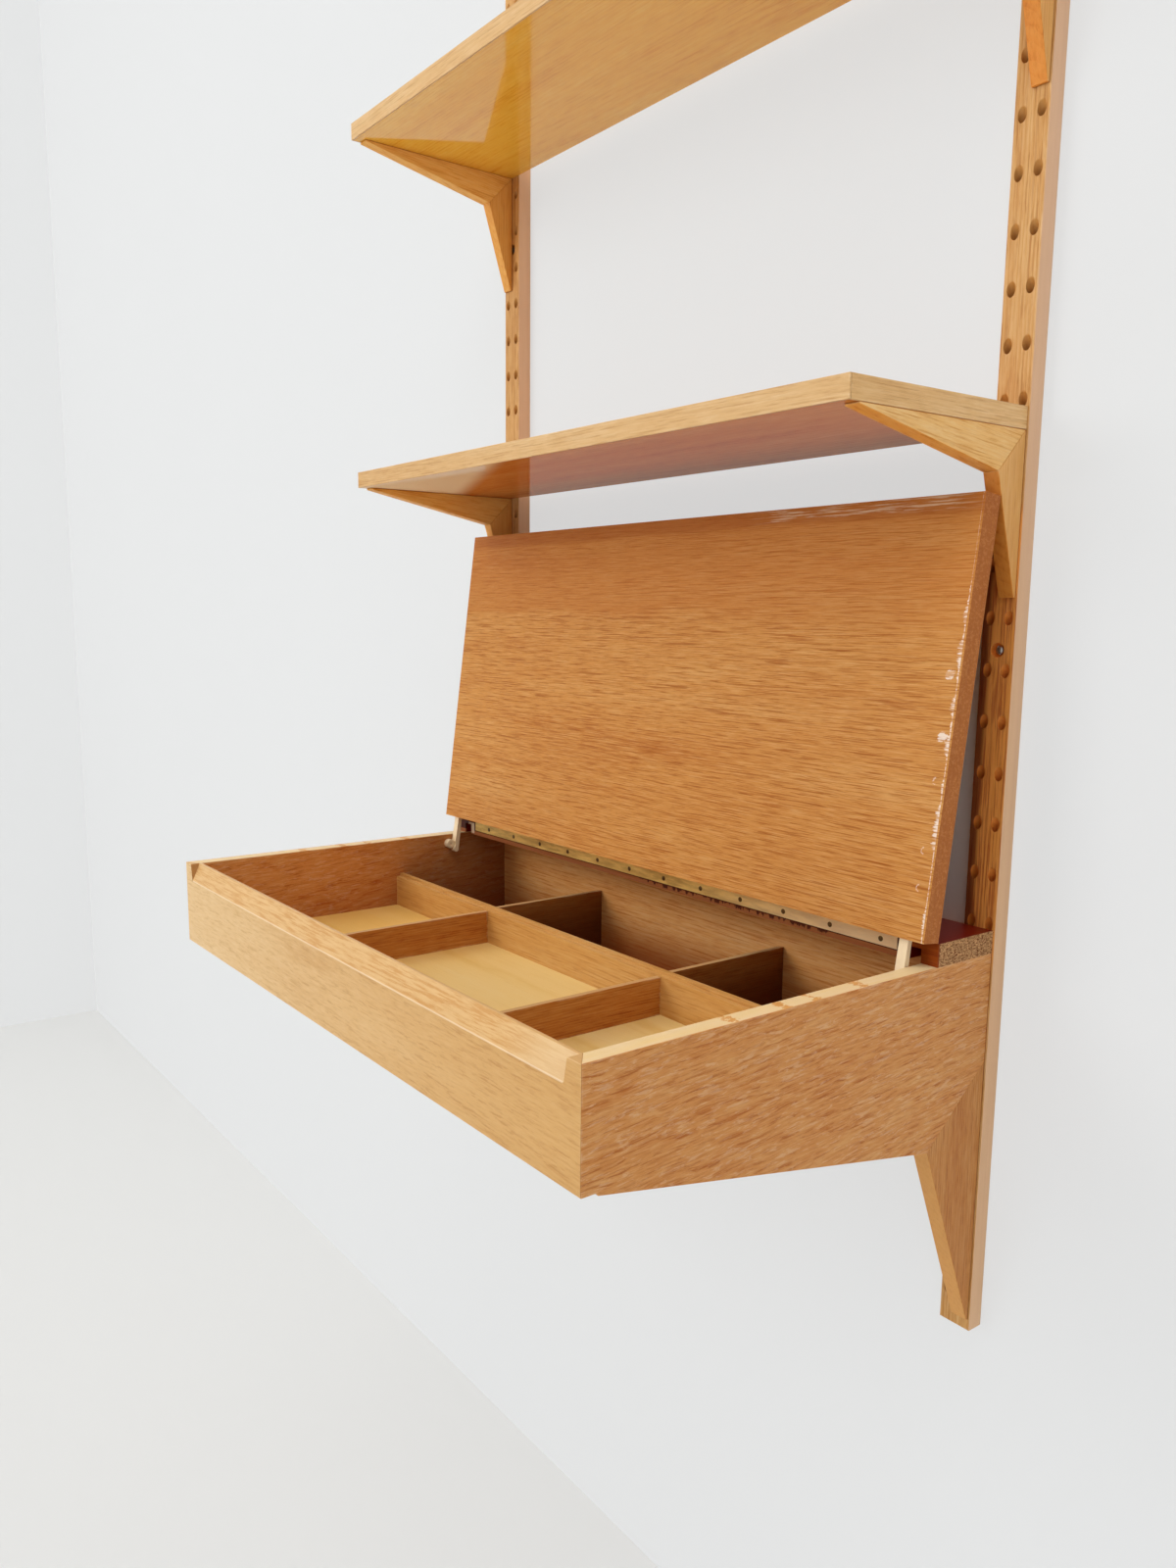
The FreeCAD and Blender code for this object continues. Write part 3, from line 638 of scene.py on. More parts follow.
def oak_figure(shader, at, base, figure, pores, ring=3.2 * MM, tilt=0.02, sway=0.012, mottle=0.3, curl=0.0,
               dash=(22, 420)):
    """The colour and relief of oak.

    The rings are circles about the tree's heart, which runs nearly with the grain: the distance from it,
    bent by slow noise, is cut into equal steps, and each step is darkest where it starts. Slow noise shifts
    the whole tone, and quicker noise mottles it. These add up to one number, which picks between a deep, a
    plain and a pale shade. Pores are short dark dashes with the grain, thickest where a ring starts, and pale
    flecks lie between them."""
    if curl:
        push = shader.noise(at, (24, 38, 38), detail=2)
        lift = shader.scale(push, 2 * curl, -curl)
        at = shader.vector("ADD", at, shader.join(0.0, lift, lift))
    along, across, deep = shader.split(at)
    drift = shader.noise(at, (3.2, 16, 16), detail=3)
    bent = shader.scale(drift, sway, across)
    raised = shader.scale(along, tilt, deep)
    distance = shader.math("SQRT", shader.math("ADD", shader.both(bent, bent), shader.both(raised, raised)))
    wobble = shader.noise(at, (7, 90, 90), detail=2)
    turns = shader.scale(wobble, 0.9, shader.math("DIVIDE", distance, ring))
    early = shader.rest(shader.step(shader.math("FRACT", turns), 0.0, 0.62))
    grit = shader.noise(at, (dash[0], dash[1], dash[1]), detail=3, rough=0.6)
    dashes = shader.step(grit, 0.53, 0.61)
    flecks = shader.step(grit, 0.46, 0.37)
    hairs = shader.step(shader.noise(at, (60, 1500, 1500), detail=2, rough=0.6), 0.52, 0.66)
    cloud = shader.noise(at, (2.6, 22, 22), detail=3, rough=0.6)
    speck = shader.noise(at, (42, 190, 190), detail=3, rough=0.65)
    level = shader.scale(early, -0.7 * figure, 0.5 + 0.25 * figure)
    level = shader.math("ADD", level, shader.scale(cloud, 1.4, -0.7))
    level = shader.math("ADD", level, shader.scale(speck, 4 * mottle, -2 * mottle), clamp=True)
    colour = shader.over(steeped(base, 1.34, 0.94), base, shader.step(level, 0.0, 0.5))
    colour = shader.over(colour, steeped(base, 0.8), shader.step(level, 0.5, 1.0))
    colour = shader.over(colour, steeped(base, 0.68), flecks, 0.45 * pores)
    pits = shader.both(dashes, shader.scale(early, 0.5, 0.5))
    pore = steeped(base, 1.7, 0.8)
    colour = shader.over(colour, pore, pits, 0.85 * pores)
    colour = shader.over(colour, pore, hairs, 0.35 * pores)
    height = shader.rest(shader.scale(hairs, 0.35, pits), clamp=True)
    return colour, height, cloud


def oak(name, base, ring=3.2 * MM, tilt=0.02, sway=0.012, mottle=0.3, figure=1.0, pores=1.0, curl=0.0,
        dash=(22, 420), rough=0.5, coat=0.0, coat_rough=0.2, wear=1.0, shine=0.25):
    """Planed and oiled oak or oak veneer on a board that carries its own grain, rubbed pale in patches along
    its corners."""
    looks = timber()
    shader = Shader(name)
    at = shader.attribute("grain")
    colour, height, cloud = oak_figure(shader, at, base, looks.figure * figure, looks.pores * pores, ring,
                                       tilt, sway, mottle, curl, dash)
    rubbed = shader.rest(shader.step(shader.rim(), 0.3 * MM, 2.1 * MM))
    patchy = shader.step(shader.noise(at, (35, 180, 180), detail=3, rough=0.7), 0.44, 0.66)
    colour = shader.over(colour, looks.worn, rubbed, patchy, looks.wear * wear)
    soft = shader.scale(cloud, 0.16, rough - 0.08)
    shader.parts = {"at": at, "colour": colour, "height": height, "soft": soft}
    shader.finish = {"coat": coat, "coat_rough": coat_rough, "shine": shine}
    return shader


def done(shader, colour=None):
    """Close an oak finish, with any colour laid over its own."""
    parts = shader.parts
    return shader.close(colour or parts["colour"], parts["soft"], parts["height"], **shader.finish)


def timber():
    """The scene's colours and strengths of the wood."""
    return bpy.context.scene.shelving_timber


def fittings():
    """The scene's sizes of the small work, and its colours."""
    return bpy.context.scene.shelving_fittings


def stage_looks():
    """The scene's room, light and camera."""
    return bpy.context.scene.shelving_stage


def kept(name, make):
    """The material of that name, made the first time it is asked for."""
    return bpy.data.materials.get(name) or make(name)


def joint_shade_line(shader, colour, base):
    """Painted shade in the joints: a dark line where a piece meets the rails' face, and another where it
    meets the underside of a shelf."""
    _, back, height = shader.split(shader.place())
    face = limits("rail_right")[0][1]
    line = shader.step(back, face - 1.4 * MM, face - 0.8 * MM)
    for level in LEVELS:
        meet = limits(f"shelf_{level}")[0][2]
        line = shader.most(line, shader.near(height, meet - 0.8 * MM, meet + 0.2 * MM, 0.2 * MM))
    return shader.over(colour, steeped(base, 2.2, 0.6), line, 0.75)


def bracket_colour_and_shade(shader, base):
    """The brackets' colour with painted shade: more golden on the left one, orange under the right one's arm
    and down the front of its leg, and painted shade in the joints."""
    plain = shader.parts["colour"]
    # Painted shade: the left bracket tinted golden, and the faces that look down tinted orange
    left = shader.step(shader.split(shader.place())[0], 0.1, -0.1)
    low = shader.step(shader.facing("Z"), -0.1, -0.2)
    right = shader.over(plain, shader.tint(plain, UNDERSIDE_SHADE_TINT), low)
    return joint_shade_line(shader, shader.over(right, shader.tint(plain, LEFT_SHADE_TINT), left), base)


def arm_finish(name):
    """Honey oak of the bracket arms, with short dark dashes."""
    base = timber().bracket_arm
    shader = oak(name, base, ring=2.6 * MM, figure=0.6, pores=1.1, rough=0.52, wear=0.7, shine=0.15)
    return done(shader, bracket_colour_and_shade(shader, base))


def leg_finish(name):
    """Redder, straighter oak of the bracket legs."""
    base = timber().bracket_leg
    shader = oak(name, base, ring=3.4 * MM, figure=0.6, pores=0.5, mottle=0.15, wear=0.6)
    return done(shader, bracket_colour_and_shade(shader, base))


def desk_leg_finish(name):
    """Red-brown oak of the desk's legs, lighter along the front, with painted shade in the joints."""
    looks = timber()
    shader = oak(name, looks.desk_leg, ring=3 * MM, figure=0.7, pores=0.8, wear=0.6)
    front = shader.step(shader.facing("Y"), -0.6, -0.8)
    light = shader.over(shader.parts["colour"], looks.bracket_leg, 0.7)
    colour = shader.over(shader.parts["colour"], light, front)
    return done(shader, joint_shade_line(shader, colour, looks.desk_leg))


def edging_finish(name):
    """Honey oak of the shelves' edge strips, with painted warm light on the right end."""
    shader = oak(name, timber().shelf_edge, ring=2.4 * MM, figure=0.5, pores=0.7, mottle=0.2, wear=0.5)
    plain = shader.parts["colour"]
    # Painted warm light: the faces looking right are brightened and warmed
    right = shader.step(shader.facing("X"), 0.5, 0.8)
    return done(shader, shader.over(plain, shader.tint(plain, RIGHT_END_LIGHT_TINT), right))


def shelf_finish(name, base, coat, painted_reflection=0.0):
    """Lacquered veneer, glossy enough to mirror the wall at a low angle, with a painted reflection: a pale
    slanting patch at the front left corner; honey-coloured on top."""
    looks = timber()
    shader = oak(name, base, ring=4 * MM, figure=0.5, pores=0.4, mottle=0.2, coat=coat, coat_rough=0.07,
                 wear=0.2, shine=0.0)
    across, back, _ = shader.split(shader.place())
    # Painted reflection: a pale slanting patch across the front left corner
    corner = shader.step(shader.scale(back, 2.16, across), -0.57, -0.64)
    colour = shader.over(shader.parts["colour"], lighter(looks.worn, 1.05), corner, painted_reflection)
    above = shader.step(shader.facing("Z"), 0.5, 0.8)
    return done(shader, shader.over(colour, steeped(looks.shelf_edge, 1.15), above, 0.7))


def top_shelf_finish(name):
    """Golden veneer of the top shelf."""
    return shelf_finish(name, timber().top_shelf, 0.85)


def middle_shelf_finish(name):
    """Browner veneer of the middle shelf, with a painted reflection at its front left corner."""
    return shelf_finish(name, timber().middle_shelf, 0.3, 0.92)


def rail_finish(name):
    """Straight-grained oak of the rails: a streaked front, plainer flanks darker towards the top, and a
    stretch behind the lid in a deeper orange, part unfaded wood and part painted shade, with dark lines,
    inner edges darkened by a painted shadow of the lid, and dark holes."""
    looks = timber()
    shader = oak(name, looks.rail, ring=3.6 * MM, tilt=0.004, figure=0.9, mottle=0.2, wear=0.6)
    at = shader.parts["at"]
    across, back, height = shader.split(shader.place())
    low, high = limits("rail_right")
    half = (high[0] - low[0]) / 2
    out = shader.magnitude(across)
    off = shader.magnitude(shader.less(out, low[0] + half))

    # Painted shade behind the lid: a deeper orange stretch, part unfaded wood and part the lid's shade
    lid_shade = shader.near(height, *BEHIND_LID, 30 * MM)
    lines = shader.step(shader.noise(at, (15, 520, 520), detail=4, rough=0.65), 0.47, 0.6)
    lined = shader.over(looks.rail_behind_lid_shade, steeped(looks.rail_behind_lid_shade, 3.0, 0.5), lines, 0.7)
    front = shader.over(shader.parts["colour"], lined, lid_shade, 0.8)
    # Painted shadow of the lid: the inner edges of that stretch darkened
    inner = shader.step(out, low[0] + 12.5 * MM, low[0] + 4.5 * MM)
    front = shader.over(front, steeped(looks.board_top_and_shade, 1.2, 0.6), lid_shade, inner, 0.85)
    bored = shader.both(shader.near(back, low[1] + 0.8 * MM, high[1] - 3 * MM, 0.7 * MM),
                        shader.step(off, half, half - 0.4 * MM))
    inside = shader.over(steeped(looks.rail, 1.2), steeped(looks.rail_behind_lid_shade, 1.2), lid_shade)
    front = shader.over(front, inside, bored, 0.7)

    streak = shader.noise(at, (5, 240, 240), detail=3)
    # The flanks darker towards the top and paler lower down
    darker_up = shader.over(lighter(looks.rail_side, 1.08), looks.rail_side, shader.step(height, -0.3, 0.45))
    plain = shader.over(darker_up, darker(looks.rail_side, 0.85, 0.04), streak, 0.6)
    flank = shader.both(shader.step(shader.magnitude(shader.facing("X")), 0.35, 0.65),
                        shader.step(off, half - 1.3 * MM, half - 0.7 * MM))
    return done(shader, shader.over(front, plain, flank))


# Rails


def flat_sheet(across, depth, heights):
    """A flat sheet at one depth: a point for each place across at each height."""
    points = np.empty((len(heights), len(across), 3))
    points[..., 0] = across
    points[..., 1] = depth
    points[..., 2] = np.asarray(heights)[:, None]
    return points


def peg_rings():
    """A slanted peg hole: a mouth rubbed a little wide, rings that sink by their depth times the slant's
    tangent, and a point that closes the hole."""
    slant = math.tan(PEG_SLANT)
    depths = np.array((0.5, 3, 6, 9, 11.5)) * MM
    mouth = [(1.45, 0, 0), (1.1, 0, 0), (1.02, 0.12 * MM, 0.1 * MM)]
    return mouth + [(1, deep, deep * slant) for deep in depths] + [(0, PEG_DEPTH, PEG_DEPTH * slant)]


def recess_rings(depth):
    """A wall screw's round recess with an eased mouth, and the narrow hole from its floor to the wall."""
    narrow = SHANK_RADIUS / RECESS_RADIUS
    mouth = [(1.16, 0, 0), (1.05, 0, 0), (1, 0.3 * MM, 0)]
    return mouth + [(1, RECESS_DEPTH, 0), (narrow, RECESS_DEPTH, 0), (narrow, depth, 0)]


def pierced(across, heights, centre, radii, rings):
    """The face round one hole: a grid whose first row is the cell's edge and whose other rows are ovals.

    The edge's points run once round the rectangle. Each is seen from the hole's middle at some angle, and
    every oval has a point at that angle: the middle plus the radii times the angle's cosine and sine. A
    ring is (size as a share of the radii, depth below the face, drop of its middle)."""
    low = np.stack([across, np.full_like(across, heights[0])], axis=1)
    high = np.stack([across[::-1], np.full_like(across, heights[-1])], axis=1)
    right = np.stack([np.full_like(heights, across[-1]), heights], axis=1)[1:-1]
    left = np.stack([np.full_like(heights, across[0]), heights[::-1]], axis=1)[1:-1]
    edge = np.concatenate([low, right, high, left])
    angle = np.arctan2((edge[:, 1] - centre[1]) / radii[1], (edge[:, 0] - centre[0]) / radii[0])
    circle = np.stack([np.cos(angle), np.sin(angle)], axis=1) * radii
    rows = [np.insert(edge, 1, 0.0, axis=1)]
    for size, depth, drop in rings:
        oval = circle * size + (centre[0], centre[1] - drop)
        rows.append(np.insert(oval, 1, depth, axis=1))
    return np.stack(rows)


def rail_surface(half, depth, ease_width, bottom, top, rows, screws):
    """A rail in its own frame: across from its middle line, depth back from its face, and height.

    The face is a ladder of bands, each a row of two slanted peg holes, a wall screw's recess or plain wood.
    Quarter rounds join it to the sides, and everything shares the bands' heights, so the seams weld."""
    flat = half - ease_width
    across = np.linspace(-flat, flat, 17)
    middle = len(across) // 2
    peg = PEG_RADIUS * np.array((1, 1 / math.cos(PEG_SLANT)))
    recess = np.array((RECESS_RADIUS, RECESS_RADIUS))
    bands = sorted([(z, PEG_BAND, True) for z in rows] + [(z, SCREW_BAND, False) for z in screws])
    surface = Surface()
    plain = []
    heights = [np.array([bottom])]
    for height, reach, for_pegs in bands:
        steps = np.linspace(height - reach, height + reach, 7)
        plain.append((heights[-1][-1], steps[0]))
        heights.append(steps)
        if for_pegs:
            for columns, side in ((across[:middle + 1], -1), (across[middle:], 1)):
                spot = (side * COLUMN_REACH, height)
                surface.grid(pierced(columns, steps, spot, peg, peg_rings()), wrap_columns=True)
            surface.grid(flat_sheet(across, depth, steps))
        else:
            cell = pierced(across, steps, (0, height), recess, recess_rings(depth))
            back = cell[:1] + (0, depth, 0)
            surface.grid(np.concatenate([cell, back]), wrap_columns=True)
    plain.append((heights[-1][-1], top))
    heights.append(np.array([top]))
    for edges in plain:
        for place in (0.0, depth):
            surface.grid(flat_sheet(across, place, edges))

    turn = np.linspace(0, math.pi / 2, 5)
    round_x = flat + ease_width * np.sin(turn)
    round_depth = ease_width * (1 - np.cos(turn))
    side_x = np.concatenate([round_x, round_x[::-1]])
    side_depth = np.concatenate([round_depth, depth - round_depth[::-1]])
    levels = np.unique(np.round(np.concatenate(heights), 9))
    for sign in (-1, 1):
        surface.grid(flat_sheet(sign * side_x, side_depth, levels))
    loop = np.concatenate([
        np.stack([across, np.zeros_like(across)], axis=1),
        np.stack([side_x, side_depth], axis=1)[1:-1],
        np.stack([across[::-1], np.full_like(across, depth)], axis=1),
        np.stack([-side_x[::-1], side_depth[::-1]], axis=1)[1:-1],
    ])
    for level in (bottom, top):
        surface.cap(np.insert(loop, 2, level, axis=1))
    return surface


class SHELVING_OT_rails(bpy.types.Operator):
    """Build both wall rails with their slanted peg holes and screw recesses"""

    bl_idname = "shelving.rails"
    bl_label = "Rails"

    def execute(self, context):
        for side, sign in SIDES.items():
            node = f"rail_{side}"
            low, high = limits(node)
            half = (high - low) / 2
            first = low[2] + FIRST_ROW
            rows = [first + number * ROW_PITCH for number in range(ROW_COUNT)]
            screws = [first + row * ROW_PITCH for row in SCREW_ROWS]
            surface = rail_surface(half[0], 2 * half[1], fittings().ease, low[2], high[2], rows, screws)
            surface.points = [points + (low[0] + half[0], low[1], 0) for points in surface.points]
            made = smooth_flat(surface.piece(f"drilled_{node}"))
            lay_grain(made, (0, 0, 1), (0, -1, 0), (0.4 * sign, 0.16 + 0.03 * sign, 0.02))
            stand_for(made, kept("Rail oak", rail_finish), node)
        wood = kept("Peg wood", peg_finish)
        for node in frame["nodes"]:
            if node.startswith("peg_"):
                finish_node(node, wood)
        return {"FINISHED"}


def smooth_flat(piece):
    """Shade soft, with every corner sharper than a rounding's step kept crisp."""
    piece.data.shade_smooth()
    piece.data.set_sharp_from_angle(angle=math.radians(35))
    return piece


def peg_finish(name):
    """Plain turned hardwood with faint lengthwise streaks."""
    base = timber().bracket_leg
    shader = Shader(name)
    streak = shader.noise(shader.place(), (300, 90, 70), detail=3)
    colour = shader.over(darker(base, 0.7, 0.05), base, streak)
    return shader.close(colour, shader.scale(streak, 0.2, 0.45), streak)


# Wall screws


def screw_head(radius, rise, slot, ring_count=9, point_count=40):
    """A slotted round head seen from the front: height above its seat falls from the middle to the rim as a
    shallow dome, and is sunk where a point lies within half the slot's width of the slot's middle line."""
    out = np.linspace(0, 1, ring_count)[:, None]
    angle = np.linspace(0, 2 * math.pi, point_count, endpoint=False)[None]
    x = radius * out * np.cos(angle)
    z = radius * out * np.sin(angle)
    dome = rise * np.sqrt(np.clip(1 - out**2 * 0.92, 0, 1)) * np.ones_like(angle)
    height = np.where(np.abs(z) < slot / 2, np.minimum(dome, rise * 0.35), dome)
    top = np.stack([x, -height, z], axis=2)
    foot = np.stack([x[-1], np.zeros(point_count), z[-1]], axis=1)[None]
    middle = np.zeros_like(foot)
    return np.concatenate([top, foot, middle])


class SHELVING_OT_wall_screws(bpy.types.Operator):
    """Set the six wall screws' heads in their recesses"""

    bl_idname = "shelving.wall_screws"
    bl_label = "Wall screws"

    def execute(self, context):
        low, high = limits("rail_right")
        out = (low[0] + high[0]) / 2
        head = screw_head(fittings().wall_screw_head / 2, rise=3.2 * MM, slot=1.1 * MM)
        surface = Surface()
        spots = [(sign * out, row) for sign in SIDES.values() for row in SCREW_ROWS]
        for number, (across, row) in enumerate(spots):
            spin = np.array(Matrix.Rotation(-0.7 - 1.1 * number, 3, "Y"))
            spot = (across, low[1] + RECESS_DEPTH, low[2] + FIRST_ROW + row * ROW_PITCH)
            surface.grid(head @ spin.T + spot, wrap_columns=True)
        made = smooth_flat(surface.piece("wall_screw_heads"))
        go_with(made, kept("Wall screw steel", bright_steel_finish), "frame")
        return {"FINISHED"}


def steel_finish(name, base=None):
    """Dark plated steel, a little uneven."""
    base = base or fittings().screw
    shader = Shader(name)
    spots = shader.noise(shader.place(), (900, 900, 900), detail=3)
    colour = shader.over(darker(base, 0.6), base, spots)
    return shader.close(colour, shader.scale(spots, 0.3, 0.2), spots, metal=1.0)


def bright_steel_finish(name):
    """The wall screws' brighter steel."""
    return steel_finish(name, fittings().bolt)


# Shelves and brackets


class SHELVING_OT_shelves(bpy.types.Operator):
    """Build both shelves: a veneered board with a strip of oak on its front and each end"""

    bl_idname = "shelving.shelves"
    bl_label = "Shelves"

    def execute(self, context):
        width = fittings().strip_ease
        veneers = {"top": kept("Top shelf veneer", top_shelf_finish),
                   "middle": kept("Middle shelf veneer", middle_shelf_finish)}
        strip = kept("Shelf edging", edging_finish)
        for number, level in enumerate(LEVELS):
            shift = 0.37 * number
            block(f"shelf_{level}", ((1, 0, 0), (0, 0, -1), (shift, 0.1, 0.09)), veneers[level])
            node = f"shelf_front_edging_{level}"
            low, high = limits(node)
            outer = [(1, low[1]), (0, low[0]), (0, high[0])]
            block(node, ((1, 0, 0), (0, -1, 0), (shift, 0.21, 0.02)), strip, width, outer)
            for side, sign in SIDES.items():
                node = f"shelf_end_edging_{level}_{side}"
                low, high = limits(node)
                outer = [(0, high[0] if sign > 0 else low[0])]
                block(node, ((0, 1, 0), (sign, 0, 0), (shift + 0.2 * sign, 0.24, 0.02)), strip, width, outer)
        return {"FINISHED"}


class SHELVING_OT_brackets(bpy.types.Operator):
    """Build the four shelf brackets, each an arm and a leg mitred at the knee"""

    bl_idname = "shelving.brackets"
    bl_label = "Brackets"

    def execute(self, context):
        width = fittings().ease
        arm_wood, leg_wood = kept("Bracket arm oak", arm_finish), kept("Bracket leg oak", leg_finish)
        for number, level in enumerate(LEVELS):
            for side, sign in SIDES.items():
                arm, leg = f"bracket_arm_{level}_{side}", f"bracket_leg_{level}_{side}"
                low, high = limits(arm)
                foot = limits(leg)[0]
                corner, knee, tip = (high[1], high[2]), (foot[1], low[2]), (low[1], high[2] - ARM_TIP)
                slope = (0, tip[0] - knee[0], 0.55 * (tip[1] - knee[1]))
                grain = (slope, (sign, 0, 0), (0.3 * number, 0.19 + 0.02 * sign, 0.03))
                plank(arm, [corner, (low[1], high[2]), tip, knee], grain, arm_wood, width)
                toe = (high[1] - LEG_TIP, foot[2])
                grain = ((0, 0, 1), (sign, 0, 0), (0.5 + 0.3 * number, 0.15 + 0.03 * sign, 0.02))
                plank(leg, [corner, knee, toe, (high[1], foot[2])], grain, leg_wood, width)
        return {"FINISHED"}


# Desk box


def side_strip(shader, at):
    """The light solid wood along the sides' top edge, with a few brown stains in ragged bands."""
    looks = timber()
    light = shader.over(steeped(looks.ply, 1.05), looks.worn, shader.noise(at, (9, 300, 300), detail=3))
    spot = shader.place()
    ragged = shader.noise(spot, (260, 130, 260), detail=3, rough=0.7)
    run = shader.scale(ragged, 30 * MM, shader.split(spot)[1])
    bands = [shader.near(run, low, high, 2 * MM) for low, high in STAINS]
    stain = bands[0]
    for band in bands[1:]:
        stain = shader.most(stain, band)
    return shader.over(light, steeped(looks.top_shelf, 1.5, 0.9), stain, looks.wear * 1.5)


def side_finish(name):
    """Reddish veneer with a light solid top edge, its outer millimetre in the veneer's colour, and painted
    shade inside the box, deeper towards its back and foot, with painted shade in the joints."""
    looks = timber()
    shader = oak(name, looks.box_side, ring=5.2 * MM, tilt=0.05, sway=0.05, figure=0.5, pores=1.1, curl=0.003,
                 dash=(38, 560), rough=0.48, wear=0.5)
    at = shader.parts["at"]
    ripple = shader.step(shader.noise(at, (62, 290, 290), detail=4, rough=0.7, bend=0.6), 0.52, 0.64)
    veneer = shader.over(shader.parts["colour"], lighter(looks.rail_side, 0.98), ripple, 0.42)
    across, back, level = shader.split(shader.place())
    # Painted shade on the inner faces, deeper towards the box's back and foot
    within = shader.both(shader.step(shader.magnitude(across), *BOX_INNER),
                         shader.step(shader.magnitude(shader.facing("X")), 0.5, 0.7))
    inner_shade = shader.math("ADD", shader.step(back, -0.33, -0.06), shader.step(level, -0.28, -0.4))
    veneer = shader.over(veneer, steeped(looks.box_side, 2.6, 0.5), within, inner_shade, 0.42)

    depths = shader.split(shader.vector("SUBTRACT", shader.attribute("half"), shader.attribute("board")))
    top = shader.rest(shader.step(depths[1], 0.5 * MM, 0.9 * MM))
    inner = shader.step(depths[2], 0.9 * MM, 1.4 * MM)
    colour = shader.over(veneer, side_strip(shader, at), top, inner)
    return done(shader, joint_shade_line(shader, colour, looks.box_side))


def front_finish(name):
    """Golden veneer of the front panel, browner to the right with painted shade, with an orange cut chamfer,
    a rubbed line along its foot and dark end wood at its stops."""
    looks = timber()
    shader = oak(name, looks.box_front, ring=4.4 * MM, tilt=0.03, sway=0.04, mottle=0.1, figure=0.15,
                 pores=0.7, curl=0.001, dash=(55, 520), rough=0.48, wear=0.8)
    plain = shader.parts["colour"]
    along, height, _ = shader.split(shader.attribute("board"))
    rise = shader.facing("Z")
    # Painted shade: browner and darker towards the right end
    face = shader.over(plain, shader.tint(plain, RIGHT_SHADE_TINT), shader.step(along, -0.42, 0.42), 0.9)

    streak = shader.step(shader.noise(shader.parts["at"], (26, 420, 420), detail=4, rough=0.7), 0.42, 0.62)
    cut = shader.over(steeped(looks.box_front, 1.15), steeped(looks.box_front, 1.8), streak)
    cut = shader.over(cut, steeped(looks.box_front, 0.75), shader.step(along, 0.28, 0.38), 0.6)
    colour = shader.over(face, cut, shader.near(rise, 0.35, 0.75, 0.08), 0.8)

    half = shader.split(shader.attribute("half"))[1]
    from_cut = shader.less(height, shader.less(half, CHAMFER_DROP))
    line = shader.both(shader.near(from_cut, -0.4 * MM, 0.6 * MM, 0.4 * MM),
                       shader.near(along, -0.377, 0.377, 2 * MM), shader.step(shader.facing("Y"), -0.5, -0.6))
    colour = shader.over(colour, looks.worn, line, 0.55)
    colour = shader.over(colour, looks.shelf_edge, shader.step(rise, 0.88, 0.95), 0.8)
    end_wood = shader.step(shader.magnitude(shader.facing("X")), 0.3, 0.5)
    return done(shader, shader.over(colour, steeped(looks.box_front, 2.2, 0.8), end_wood, 0.8))


def foot_shade(shader, base, top, foot):
    """The piece's colour with painted shade towards the foot, where little light comes into the compartments.
    """
    low = shader.step(shader.split(shader.place())[2], top, foot)
    return shader.over(shader.parts["colour"], steeped(base, 2.6, 0.5), low, 0.85)


def inside_finish(name):
    """Brown veneer of the box's bottom."""
    return done(oak(name, timber().box_inside, ring=4 * MM, figure=0.6, pores=0.9, wear=0.2))


def back_finish(name):
    """Paler brown veneer of the box's back, with painted shade towards its foot."""
    base = timber().box_back
    shader = oak(name, base, ring=5 * MM, figure=0.6, pores=1.2, mottle=0.25, dash=(20, 480), wear=0.1)
    return done(shader, foot_shade(shader, base, -0.33, -0.41))


def divider_finish(name):
    """Light oak of the long divider, with painted shade down its rear face, deeper towards the foot."""
    base = timber().divider
    shader = oak(name, base, ring=3 * MM, figure=0.3, pores=0.7, mottle=0.12, rough=0.55, wear=0.7)
    rear = shader.step(shader.facing("Y"), 0.5, 0.8)
    return done(shader, shader.over(shader.parts["colour"], foot_shade(shader, base, -0.3, -0.4), rear))


def ply_finish(name):
    """Pale ply with broad, faint figure, more golden to the left."""
    looks = timber()
    shader = oak(name, looks.ply, ring=14 * MM, tilt=0.03, sway=0.05, mottle=0.06, figure=0.08, pores=0.12,
                 rough=0.55, wear=0.1)
    left = shader.step(shader.split(shader.place())[0], 0.0, -0.3)
    return done(shader, shader.over(shader.parts["colour"], steeped(looks.top_shelf, 0.9), left, 0.55))


